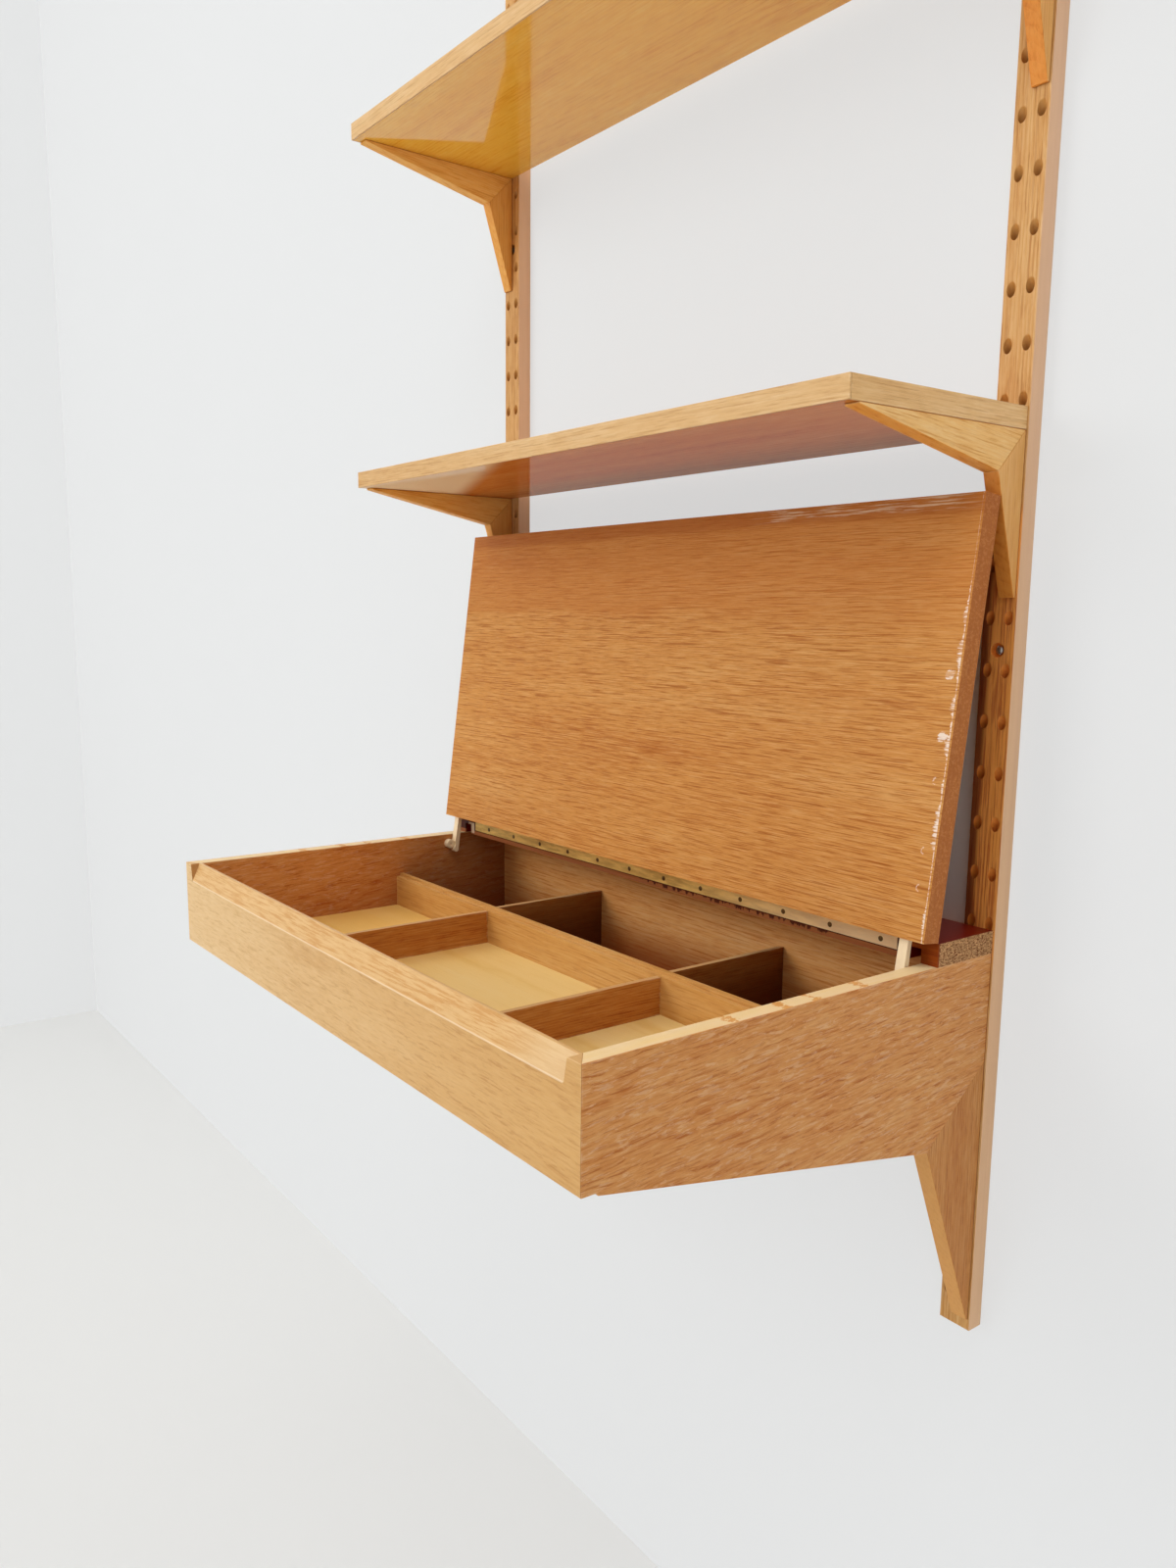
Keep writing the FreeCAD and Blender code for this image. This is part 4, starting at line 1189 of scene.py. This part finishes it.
class SHELVING_OT_box(bpy.types.Operator):
    """Build the desk box's two sides with their legs, and its front with the stopped chamfer"""

    bl_idname = "shelving.box"
    bl_label = "Desk box"

    def execute(self, context):
        width = fittings().ease
        veneer, solid = kept("Box side veneer", side_finish), kept("Desk leg oak", desk_leg_finish)
        panel_low, panel_high = limits("front_panel")
        for side, sign in SIDES.items():
            node, leg = f"desk_side_{side}", f"desk_leg_{side}"
            low, high = limits(node)
            foot, head = limits(leg)
            mitre, knee = (high[1], head[2]), (foot[1], low[2])
            step = (low[1] + STEP_SETBACK, panel_low[2])
            lower = (step[0] + STEP_RUN, panel_low[2] - STEP_DROP)
            outline = [(high[1], high[2]), (low[1], high[2]), (low[1], panel_low[2]), step, lower, knee,
                       mitre]
            rows = carried(outline, "X", low[0], high[0])
            inner = 0 if sign > 0 else 1
            rows[inner, 1:4, 1] = panel_high[1]
            rows[inner, 3, 2] -= STEP_DROP * (panel_high[1] - step[0]) / STEP_RUN
            planed(node, rows, ((0, 1, 0.07), (sign, 0, 0), (0.1, 0.04, 0.1)), veneer, width, upright=True)
            toe = (high[1] - DESK_LEG_TIP, foot[2])
            grain = ((0, 0, 1), (sign, 0, 0), (0.9, 0.17 + 0.02 * sign, 0.02))
            plank(leg, [mitre, knee, toe, (high[1], foot[2])], grain, solid, width)
        planed("front_panel", self.front(panel_low, panel_high), ((1, 0, 0), (0, -1, 0), (0.6, 0.05, 0.09)),
               kept("Box front veneer", front_finish), width)
        return {"FINISHED"}

    def front(self, low, high):
        """The front panel: an end section of five points carried from mitre to mitre, in which the chamfer's
        two points part from the top front corner between the stops."""
        face, back, foot, top = low[1], high[1], low[2], high[2]
        outer, inner = high[0], high[0] - SIDE_THICKNESS
        stops = (CHAMFER_STOP, CHAMFER_STOP_BACK, CHAMFER_STOP_FOOT)
        stop, stop_back, stop_foot = (outer - inset for inset in stops)
        lip, drop = face + CHAMFER_LIP, top - CHAMFER_DROP
        mitre_lip = inner + SIDE_THICKNESS * (back - lip) / (back - face)
        end = [(inner, back, foot), (outer, face, foot), (outer, face, top), (mitre_lip, lip, top),
               (inner, back, top)]
        start = [(stop_back, back, foot), (stop, face, foot), (stop, face, top), (stop, lip, top),
                 (stop_back, back, top)]
        full = [(stop_foot, back, foot), (stop_foot, face, foot), (stop_foot, face, drop), (stop, lip, top),
                (stop_foot, back, top)]
        right = np.array([full, start, end])
        return np.concatenate([right[::-1] * (-1, 1, 1), right])


def board_up(piece, low, high):
    """Measure the piece's rims upright, as its grain follows a slope."""
    middle, half = (low + high) / 2, (high - low) / 2
    sign = 1 if middle[0] > 0 else -1
    spots = vertex_places(piece.data) - middle
    note_vectors(piece.data, "board", np.stack([spots[:, 1], spots[:, 2], sign * spots[:, 0]], axis=1))
    note_vectors(piece.data, "half", np.tile((half[1], half[2], half[0]), (len(spots), 1)))


class SHELVING_OT_inside(bpy.types.Operator):
    """Build the box's back, bottom, floor and dividers"""

    bl_idname = "shelving.inside"
    bl_label = "Box inside"

    def execute(self, context):
        width = fittings().strip_ease
        cross, veneer = kept("Cross divider oak", cross_finish), kept("Back veneer", back_finish)
        block("back_panel", ((1, 0, 0), (0, -1, 0), (0.2, 0.2, 0.02)), veneer, width)
        block("front_floor", ((1, 0, 0), (0, 0, 1), (0.2, 0.05, 0.12)), kept("Floor ply", ply_finish))
        for number, side in enumerate(SIDES):
            block(f"front_divider_{side}", ((0, 1, 0), (-1, 0, 0), (0.5 * number, 0.2, 0.01)), cross, width)
            node = f"rear_divider_{side}"
            grain = ((0, 1, 0), (-1, 0, 0), (0.3 * number, 0.2, 0.01))
            plank(node, self.rear(node), grain, cross, width)
        plank("bottom_panel", self.bottom(), ((1, 0, 0), (0, 0, -1), (0.4, 0.06, 0.1)),
              kept("Inside veneer", inside_finish))
        plank("long_divider", self.long_divider(), ((1, 0, 0), (0, -1, 0), (0.8, 0.2, 0.02)),
              kept("Divider oak", divider_finish), width)
        return {"FINISHED"}

    def rear(self, node):
        """A rear divider's four-sided outline, whose foot follows the sloping bottom."""
        low, high = limits(node)
        return [(low[1], bottom_line(low[1])), (high[1], bottom_line(high[1])), (high[1], high[2]),
                (low[1], high[2])]

    def bottom(self):
        """The bottom's five-sided outline, sloping at the back and level under the floor."""
        low, high = limits("bottom_panel")
        rise = bottom_line(high[1])
        slope = (rise - bottom_line(low[1])) / (high[1] - low[1])
        meet = high[1] + (high[2] - rise) / slope
        return [(low[1], low[2] + slope * (low[1] - high[1])), (high[1], low[2]), (high[1], rise),
                (meet, high[2]), (low[1], high[2])]

    def long_divider(self):
        """The long divider's outline, with a small ledge along its front, on the sloping bottom."""
        low, high = limits("long_divider")
        ledge, drop = low[1] + LEDGE_REACH, high[2] - LEDGE_DROP
        return [(low[1], bottom_line(low[1])), (high[1], bottom_line(high[1])), (high[1], high[2]),
                (ledge, high[2]), (ledge, drop), (low[1], drop)]


def bottom_line(y):
    """The height of the sloping bottom's upper face at a distance from the wall: on a straight line through
    the feet of a rear divider's wall end and of the long divider's wall side."""
    rear_low, rear_high = limits("rear_divider_left")
    long_low, long_high = limits("long_divider")
    slope = (long_low[2] - rear_low[2]) / (long_high[1] - rear_high[1])
    return rear_low[2] + slope * (y - rear_high[1])


def cross_finish(name):
    """Browner oak of the short cross dividers, pale along the top, with painted shade low in the rear
    compartments.
    """
    looks = timber()
    shader = oak(name, looks.cross, ring=2.6 * MM, figure=0.6, pores=0.7, rough=0.55, wear=0.6)
    rear = shader.step(shader.split(shader.place())[1], -0.205, -0.195)
    colour = shader.over(shader.parts["colour"], foot_shade(shader, looks.cross, -0.285, -0.38), rear)
    top = shader.step(shader.facing("Z"), 0.5, 0.8)
    return done(shader, shader.over(colour, looks.shelf_edge, top, 0.85))


# Rear board and lid


def rear_finish(name):
    """Dark lacquered board, its red top partly painted shade of the lid, its raw ends chips of many browns.
    """
    looks = timber()
    shader = Shader(name)
    at = shader.place()
    across = shader.split(at)[0]
    streak = shader.noise(at, (6, 260, 260), detail=4, rough=0.6)
    # The top's dark red is partly painted shade of the lid
    top = shader.over(steeped(looks.board_top_and_shade, 1.1), looks.board_top_and_shade, streak)
    cells = shader.vector("MULTIPLY", at, (400, 420, 800))
    chips = shader.node("TexVoronoi", {"feature": "F1"}, Vector=cells, Scale=1.0)
    chip = shader.node("SeparateColor", Color=chips.outputs["Color"]).outputs[0]
    fine = shader.noise(at, (900, 900, 1500), detail=3, rough=0.7)
    crumb = shader.over(darker(looks.chipboard, 0.6, 0.06), lighter(looks.chipboard, 1.15), chip)
    crumb = shader.over(crumb, darker(looks.chipboard, 0.3, 0.15), shader.step(fine, 0.5, 0.62))
    specks = shader.step(shader.noise(at, (300, 330, 620), detail=4, rough=0.75), 0.52, 0.57)
    crumb = shader.over(crumb, steeped(looks.chipboard, 3.0, 0.5), specks, 0.95)
    board_end = limits("rear_board")[1][0]
    end = shader.step(shader.magnitude(across), board_end - 0.4 * MM, board_end - 0.2 * MM)
    return shader.close(shader.over(top, crumb, end), shader.scale(end, 0.5, 0.3), shader.both(fine, end),
                        depth=0.6 * MM, shine=0.2)


def lipping_finish(name):
    """Brown lipping, with a dark line of painted shade under the hinge leaf that reaches into torn chips, a
    pale break at its left end and a redder end block on the right."""
    looks = timber()
    shader = Shader(name)
    at = shader.place()
    across, _, height = shader.split(at)
    streak = shader.noise(at, (10, 300, 400), detail=4, rough=0.6)
    colour = shader.over(steeped(looks.lipping, 1.3), steeped(looks.lipping, 0.85), streak)
    torn = shader.step(shader.noise(at, (130, 1, 1), detail=3, rough=0.7), 0.48, 0.6)
    deep = shader.both(torn, shader.near(across, 0.02, 0.27, 30 * MM), 3.5 * MM)
    # Painted shade under the hinge leaf, reaching down into the torn chips
    under = shader.less(LEAF_FOOT, height)
    leaf_shade = shader.step(shader.less(under, deep), 1.6 * MM, 1.0 * MM)
    colour = shader.over(colour, steeped(looks.lipping, 2.2, 0.6), leaf_shade, 0.9)
    broken = shader.both(shader.near(across, -0.374, -0.36, MM), shader.near(height, -0.275, -0.262, MM))
    colour = shader.over(colour, looks.worn, broken, 0.7)
    end = shader.over(steeped(looks.lid, 3.2, 0.7), steeped(looks.lid, 1.9, 0.9), streak)
    colour = shader.over(colour, end, shader.step(across, 0.36, 0.37), 0.9)
    return shader.close(colour, shader.scale(streak, 0.2, 0.4), streak, shine=0.1)


def lid_coords(shader):
    """The lid's own axes: with the grain, out of its face, and up the lid from the hinge's axis."""
    at = shader.place(shift=(0, -HINGE_Y, -HINGE_Z))
    turned = shader.node("Mapping", Vector=at)
    turned.inputs["Rotation"].default_value = (LID_LEAN, 0, 0)
    return turned.outputs["Vector"]


def from_spot(shader, at, along, up):
    """How far to the right of a spot on the lid's face a point lies, and its distance from the spot."""
    own_along, _, own_up = shader.split(at)
    away = shader.vector("SUBTRACT", shader.join(own_along, 0.0, own_up), (along, 0, up))
    length = shader.node("VectorMath", {"operation": "LENGTH"}, Vector=away).outputs["Value"]
    return shader.split(away)[0], length


def lid_chips(shader, at):
    """Where the lacquer is broken: a ragged, broken line down the lid's right edge, two torn spots on it, and
    three thin hooks beside it, each the left half of a ring."""
    along, _, up = shader.split(at)
    inset = shader.less(LID_EDGE, along)
    ragged = shader.noise(shader.join(0.0, 0.0, up), (1, 1, 420), detail=4, rough=0.75)
    patches = shader.noise(shader.join(0.0, 0.3, up), (1, 1, 34), detail=2)
    reach = shader.both(shader.step(patches, 0.42, 0.58), shader.step(ragged, 0.36, 0.64))
    wide = shader.both(shader.scale(reach, 5 * MM, 0.6 * MM), shader.step(ragged, 0.34, 0.5),
                       shader.step(up, 0.315, 0.285))
    chip = shader.both(shader.step(shader.less(wide, inset), 0.0, 0.5 * MM),
                       shader.step(inset, -0.7 * MM, -0.1 * MM))
    torn = shader.noise(at, (170, 60, 330), detail=3, rough=0.75)
    for spot in TORN_SPOTS:
        away = from_spot(shader, at, *spot)[1]
        chip = shader.most(chip, shader.step(shader.scale(torn, 11 * MM, away), 10.2 * MM, 9.2 * MM))
    cracks = shader.step(shader.noise(at, (30, 30, 620), detail=1), 0.44, 0.52)
    chip = shader.both(chip, shader.scale(cracks, 0.8, 0.2))
    for spot in HOOKS:
        right, away = from_spot(shader, at, *spot)
        ring = shader.near(shader.scale(torn, 5 * MM, away), 5.2 * MM, 5.7 * MM, 0.5 * MM)
        hook = shader.both(ring, shader.step(right, 0.5 * MM, -MM), shader.step(torn, 0.42, 0.5))
        chip = shader.most(chip, shader.both(hook, 0.6))
    front = shader.step(shader.facing("Y"), 0.5, 0.0)
    return shader.both(chip, front)


def lid_finish(name):
    """The lid's faces and edges: reddish oak veneer with fine level grain, with painted shade of the shelf
    and scuffs along the top, golden in the middle, with a broken line of pale chips down the lower right and
    red-brown ends."""
    looks = timber()
    shader = Shader(name)
    at = lid_coords(shader)
    along, out, up = shader.split(at)
    side = shader.step(shader.magnitude(shader.facing("X")), 0.5, 0.7)
    face = shader.join(along, shader.math("ADD", up, 0.12), out)
    end = shader.join(up, shader.math("ADD", out, 0.2), shader.both(along, 0.1))
    grain = shader.blend(side, face, end)
    colour, height, cloud = oak_figure(shader, grain, looks.lid, looks.figure * 0.4, looks.pores * 1.3,
                                       ring=5.5 * MM, tilt=0.01, sway=0.03, mottle=0.12, dash=(27, 820))
    lines = shader.step(shader.noise(grain, (13, 430, 430), detail=3, rough=0.6), 0.57, 0.65)
    colour = shader.over(colour, steeped(looks.lid, 1.7, 0.8), lines, 0.6)
    rosy = shader.both(shader.step(along, -0.05, 0.34), shader.step(up, 0.32, 0.16))
    colour = shader.over(colour, shader.tint(colour, ROSY_TINT), rosy, 0.5)

    # Painted shade of the shelf: a darker wavy band over the lid's top, deepest at its top edge
    shade_wave = shader.noise(shader.vector("MULTIPLY", at, (3, 1, 14)), (1, 1, 1), detail=3)
    lowest = shader.scale(shader.step(along, 0.0, 0.3), -0.045, 0.302)
    fullest = shader.scale(shader.step(along, -0.2, 0.3), 0.02, 0.31)
    band = shader.step(shader.scale(shade_wave, 0.05, up), lowest, fullest)
    colour = shader.over(colour, steeped(looks.lid, 1.45), band, 0.5)
    head = shader.step(shader.scale(shade_wave, 0.012, up), 0.369, 0.376)
    colour = shader.over(colour, steeped(looks.lid, 1.9, 0.85), head, 0.45)
    streaks = shader.step(shader.noise(at, (16, 300, 420), detail=4, rough=0.7), 0.48, 0.62)
    scuffed = shader.both(shader.near(along, 0.17, 0.36, 0.05), shader.near(up, 0.3715, 0.3805, 3 * MM),
                          streaks)
    colour = shader.over(colour, darker(looks.worn, 0.85, 0.03), scuffed, looks.wear * 1.3)

    colour = shader.over(colour, looks.chip, lid_chips(shader, at), looks.wear * 1.8)
    colour = shader.over(colour, shader.mix(streaks, *LID_END_SHADES), side, 0.85)
    return shader.close(colour, shader.scale(cloud, 0.16, 0.42), height, shine=0.15)


class SHELVING_OT_lid(bpy.types.Operator):
    """Finish the lid and its edge strips, and the rear board behind it"""

    bl_idname = "shelving.lid"
    bl_label = "Lid and rear board"

    def execute(self, context):
        wood = kept("Lid veneer", lid_finish)
        for node in ("lid", "lid_front_edging", "lid_end_edging_left", "lid_end_edging_right"):
            finish_node(node, wood)
        finish_node("rear_board", kept("Rear board", rear_finish))
        finish_node("rear_board_lipping", kept("Rear lipping", lipping_finish))
        return {"FINISHED"}


# Hinge, stays and stop pegs


def brass_finish(name):
    """Dull brass, browned in clouds and brightened towards the right by a painted reflection."""
    brass = fittings().brass
    shader = Shader(name)
    at = shader.place()
    cloud = shader.noise(at, (30, 160, 160), detail=4, rough=0.65)
    fine = shader.noise(at, (500, 900, 900), detail=3)
    colour = shader.over(darker(brass, 0.62, 0.06), brass, shader.step(cloud, 0.3, 0.7))
    # Painted reflection: the leaf paler towards the right
    rubbed = shader.step(shader.split(at)[0], 0.05, 0.34)
    colour = shader.over(colour, timber().worn, rubbed, 0.7)
    return shader.close(colour, shader.scale(cloud, 0.25, 0.3), fine, depth=0.1 * MM, metal=0.6)


def nylon_finish(name):
    """Yellowed nylon, faintly uneven."""
    nylon = fittings().nylon
    shader = Shader(name)
    cloud = shader.noise(shader.place(), (120, 120, 120), detail=3)
    colour = shader.over(darker(nylon, 0.86, 0.04), nylon, cloud)
    return shader.close(colour, shader.scale(cloud, 0.2, 0.35), cloud, depth=0.1 * MM)


class SHELVING_OT_hinge(bpy.types.Operator):
    """Build the piano hinge: two leaves, their knuckles, the pin and the screws"""

    bl_idname = "shelving.hinge"
    bl_label = "Piano hinge"

    def execute(self, context):
        brass, steel = kept("Dull brass", brass_finish), kept("Screw steel", steel_finish)
        low, high = limits("hinge_pin")
        face = LEAF_GAP + LEAF_THICKNESS
        plate = [(LEAF_GAP, -LEAF_HEIGHT), (face, -LEAF_HEIGHT), (face, -LEAF_HEAD), (LEAF_GAP, -LEAF_HEAD)]
        for on_lid, leaf in enumerate(("fixed", "lid")):
            node = f"hinge_leaf_{leaf}"
            surface = shell_of(carried(plate, "X", low[0], high[0]))
            surface.grid(self.knuckles(low[0], high[0], on_lid), wrap_rows=True, wrap_columns=True)
            surface.points = [self.hang(points, on_lid) for points in surface.points]
            stand_for(smooth_flat(surface.piece(f"rolled_{node}")), brass, node)
            heads = smooth_flat(self.screws(on_lid).piece(f"leaf_screws_{leaf}"))
            go_with(heads, steel, frame["nodes"][node]["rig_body"])
        finish_node("hinge_pin", brass)
        return {"FINISHED"}

    def knuckles(self, start, end, first):
        """One leaf's knuckles, every second one from the first: each a tube of four rings about the axis, the
        outer two a knuckle's radius wide and the inner two a little wider than the pin."""
        many = fittings().knuckle_count
        segment = (end - start) / many
        starts = start + segment * (2 * np.arange(many // 2) + first)
        angle = np.linspace(0, 2 * math.pi, 20, endpoint=False)
        sizes = np.array((PIN_HOLE, KNUCKLE_RADIUS, KNUCKLE_RADIUS, PIN_HOLE))
        inset = 0.1 * MM
        runs = np.array((inset, inset, segment - inset, segment - inset))
        tubes = np.zeros((len(starts), 4, len(angle), 3))
        tubes[..., 0] = starts[:, None, None] + runs[None, :, None]
        tubes[..., 1] = sizes[None, :, None] * np.cos(angle)
        tubes[..., 2] = sizes[None, :, None] * np.sin(angle)
        return tubes

    def hang(self, points, on_lid):
        """Put points drawn about the axis, with the leaf hanging behind it, on the board or under the lid:
        the lid's leaf is the same one, mirrored to the front of the axis and turned up under the lid."""
        if on_lid:
            flip = np.array(Matrix.Rotation(-math.pi / 2 - LID_LEAN, 3, "X"))
            points = (points * (1, -1, 1)) @ flip.T
        return points + (0, HINGE_Y, HINGE_Z)

    def screws(self, on_lid):
        """One row of countersunk screws along a leaf."""
        sizes = fittings()
        count = sizes.leaf_screw_count
        places = (np.arange(count) - (count - 1) / 2) * sizes.leaf_screw_pitch + SCREW_SHIFT
        head = screw_head(sizes.leaf_screw_head / 2, rise=0.45 * MM, slot=0.7 * MM, ring_count=7,
                          point_count=28)
        surface = Surface()
        for number, across in enumerate(places):
            spin = np.array(Matrix.Rotation(0.9 * number, 3, "Y"))
            points = head @ spin.T + (across, LEAF_GAP, -SCREW_DROP)
            surface.grid(self.hang(points, on_lid), wrap_columns=True)
        return surface


class SHELVING_OT_stays(bpy.types.Operator):
    """Finish the stay arms and build the stop pegs they rest on"""

    bl_idname = "shelving.stays"
    bl_label = "Stays"

    def execute(self, context):
        nylon = kept("Nylon", nylon_finish)
        for side, sign in SIDES.items():
            finish_node(f"stay_arm_{side}", nylon)
            node = f"stop_peg_{side}"
            surface = Surface()
            surface.grid(self.stop_peg(*limits(node), sign), wrap_columns=True)
            stand_for(smooth_flat(surface.piece(f"turned_{node}")), nylon, node)
        return {"FINISHED"}

    def stop_peg(self, low, high, sign):
        """A stop peg turned about a level axis: rings of so many shares of its radius at depths from its
        face, with a small hollow in the middle of the face and a rounded rim."""
        middle, radius = (low + high) / 2, (high[2] - low[2]) / 2
        face = low[0] if sign > 0 else high[0]
        angle = np.linspace(0, 2 * math.pi, 40, endpoint=False)
        sizes = np.array((0, 0.28, 0.3, 0.34, 0.86, 0.95, 0.99, 1, 1, 0)) * radius
        depths = np.array((1.2, 1.2, 1.0, 0, 0, 0.15, 0.45, 0.9, 8, 8)) * MM
        rings = np.zeros((len(sizes), len(angle), 3))
        rings[..., 0] = (face + sign * depths)[:, None]
        rings[..., 1] = middle[1] + sizes[:, None] * np.cos(angle)
        rings[..., 2] = middle[2] + sizes[:, None] * np.sin(angle)
        return rings


# Stage


def room_finish(name, colour, glow):
    """Matt paint that is clear from behind, so that the unit's back can be looked at.

    What the camera and mirrors see is part plain paint and part an even glow of the paint's own colour, which
    is left out behind the desk, so that the shadow behind the lid stays deep."""
    shader = Shader(name)
    cloud = shader.noise(shader.place(), (1.5, 1.5, 1.5), detail=3)
    paint = shader.over(colour, tuple(channel * 0.975 for channel in colour), cloud, 0.5)
    across, _, height = shader.split(shader.place())
    shaded = shader.both(shader.near(across, *DESK_ACROSS, 20 * MM), shader.near(height, *DESK_UP, 60 * MM))
    rays = shader.node("LightPath").outputs
    seen = shader.most(rays["Is Camera Ray"], shader.most(rays["Is Glossy Ray"], rays["Is Transmission Ray"]))
    matt = shader.node("BsdfDiffuse", Color=paint).outputs[0]
    even = shader.node("Emission", Color=paint, Strength=1.0).outputs[0]
    painted = shader.fade(shader.both(seen, shader.rest(shaded), glow), matt, even)
    behind = shader.node("NewGeometry").outputs["Backfacing"]
    clear = shader.node("BsdfTransparent").outputs[0]
    shader.put(shader.output.inputs["Surface"], shader.fade(behind, painted, clear))
    return shader.material


def sheet(name, corners, material):
    """A flat sheet of the room, counter-clockwise from the side that shows."""
    mesh = bpy.data.meshes.new(name)
    mesh.from_pydata(corners, [], [tuple(range(len(corners)))])
    made = bpy.data.objects.new(name, mesh)
    bpy.context.scene.collection.objects.link(made)
    mesh.materials.append(material)
    return made


class SHELVING_OT_stage(bpy.types.Operator):
    """Set up the room's walls and floor, the light and the camera"""

    bl_idname = "shelving.stage"
    bl_label = "Stage"

    def execute(self, context):
        stage = stage_looks()
        wall = room_finish("Wall paint", stage.wall, 0.75)
        ground = room_finish("Floor paint", stage.floor, 0.6)
        left, right, near, far, foot, top = ROOM
        low_left, low_right, high_left = (left, far, foot), (right, far, foot), (left, far, top)
        near_left = (left, near, foot)
        back = sheet("room_wall", [low_left, low_right, (right, far, top), high_left], wall)
        sheet("room_side", [near_left, low_left, high_left, (left, near, top)], wall)
        sheet("room_floor", [near_left, (right, near, foot), low_right, low_left], ground)
        leaning = [piece for piece in bpy.data.objects if piece.parent == frame["bodies"]["lid"]]
        self.lamp("Window", stage.key, place=(-2.2, -3.9, 1.6), aim=(0, -0.2, -0.1), size=2.6)
        self.lamp("Fill", stage.fill, place=(0.9, -1.7, 2.8), aim=(0.1, -0.3, -0.2), size=2.0)
        self.lamp("Back light", stage.back, place=(0.3, 2.6, 0.6), aim=(0, 0, 0.1), size=2.0, passes=[back],
                  misses=leaning)
        self.sky(stage.sky)
        self.camera(stage.lens)
        context.scene.view_settings.view_transform = "Standard"
        return {"FINISHED"}

    def lamp(self, name, power, place, aim, size, passes=(), misses=()):
        """A square soft light aimed at a point, which some pieces let through and some don't catch."""
        data = bpy.data.lights.new(name, "AREA")
        data.size = size
        data.energy = power
        made = bpy.data.objects.new(name, data)
        bpy.context.scene.collection.objects.link(made)
        made.location = place
        made.rotation_euler = look_along(np.subtract(aim, place)).to_euler()
        if passes:
            made.light_linking.blocker_collection = self.all_but(f"{name} passes", passes)
        if misses:
            made.light_linking.receiver_collection = self.all_but(f"{name} misses", misses)

    def all_but(self, name, pieces):
        """A collection for light linking that leaves out the given pieces."""
        group = bpy.data.collections.new(name)
        for piece in pieces:
            group.objects.link(piece)
        for link in group.collection_objects:
            link.light_linking.link_state = "EXCLUDE"
        return group

    def sky(self, strength):
        """Even light from all round that looks white where the room ends."""
        world = bpy.data.worlds.new("Room light")
        bpy.context.scene.world = world
        world.use_nodes = True
        tree = world.node_tree
        tree.nodes.clear()
        kinds = ("LightPath", "MapRange", "Background", "OutputWorld")
        seen, mixed, glow, output = (tree.nodes.new(f"ShaderNode{kind}") for kind in kinds)
        mixed.inputs["To Min"].default_value = strength
        mixed.inputs["To Max"].default_value = 1.0
        tree.links.new(seen.outputs["Is Camera Ray"], mixed.inputs["Value"])
        tree.links.new(mixed.outputs[0], glow.inputs["Strength"])
        tree.links.new(glow.outputs[0], output.inputs["Surface"])

    def camera(self, lens):
        """The photograph's viewpoint: from the right, looking a little down, and rolled by half a degree."""
        data = bpy.data.cameras.new("Camera")
        made = bpy.data.objects.new("Camera", data)
        bpy.context.scene.collection.objects.link(made)
        data.sensor_fit = "VERTICAL"
        data.sensor_width = data.sensor_height = 36
        data.lens = lens
        data.shift_x, data.shift_y = CAMERA_SHIFT
        data.clip_start, data.clip_end = 0.05, 60
        around, down, roll = (math.radians(angle) for angle in CAMERA_TURN)
        way = (-math.sin(around) * math.cos(down), math.cos(around) * math.cos(down), -math.sin(down))
        turn = look_along(way).to_4x4() @ Matrix.Rotation(roll, 4, "Z")
        made.matrix_world = Matrix.Translation(CAMERA_PLACE) @ turn
        bpy.context.scene.camera = made


def look_along(way):
    """The turn that points a lamp's or camera's own down axis along a direction, its own Y axis upwards."""
    back = -np.array(way, float) / np.linalg.norm(way)
    right = np.cross((0, 0, 1), back)
    right /= np.linalg.norm(right)
    up = np.cross(back, right)
    return Matrix([[right[i], up[i], back[i]] for i in range(3)])


STEPS = (
    SHELVING_OT_rails,
    SHELVING_OT_wall_screws,
    SHELVING_OT_shelves,
    SHELVING_OT_brackets,
    SHELVING_OT_box,
    SHELVING_OT_inside,
    SHELVING_OT_lid,
    SHELVING_OT_hinge,
    SHELVING_OT_stays,
    SHELVING_OT_stage,
)


class SHELVING_PT_steps(bpy.types.Panel):
    """Lists the unit's pieces and settings"""

    bl_idname = "SHELVING_PT_steps"
    bl_label = "Shelving unit"
    bl_space_type = "VIEW_3D"
    bl_region_type = "UI"
    bl_category = "Shelving"

    def draw(self, context):
        layout = self.layout
        for group in ("shelving_timber", "shelving_fittings", "shelving_stage"):
            owner = getattr(context.scene, group)
            column = layout.column(align=True)
            for name in owner.__annotations__:
                column.prop(owner, name)
        for step in STEPS:
            layout.operator(step.bl_idname)


GROUPS = {
    "shelving_timber": TimberFinish,
    "shelving_fittings": FittingSizes,
    "shelving_stage": StageSettings,
}


def register():
    """Make the settings, the steps and the panel known."""
    for name, group in GROUPS.items():
        bpy.utils.register_class(group)
        setattr(bpy.types.Scene, name, PointerProperty(type=group))
    for made in (*STEPS, SHELVING_PT_steps):
        bpy.utils.register_class(made)


def unregister():
    """Take the panel, the steps and the settings away again."""
    for made in (SHELVING_PT_steps, *reversed(STEPS)):
        bpy.utils.unregister_class(made)
    for name, group in GROUPS.items():
        delattr(bpy.types.Scene, name)
        bpy.utils.unregister_class(group)


def main():
    """Build every piece in order."""
    register()
    for step in STEPS:
        group, name = step.bl_idname.split(".")
        getattr(getattr(bpy.ops, group), name)()


if __name__ == "__main__":
    main()
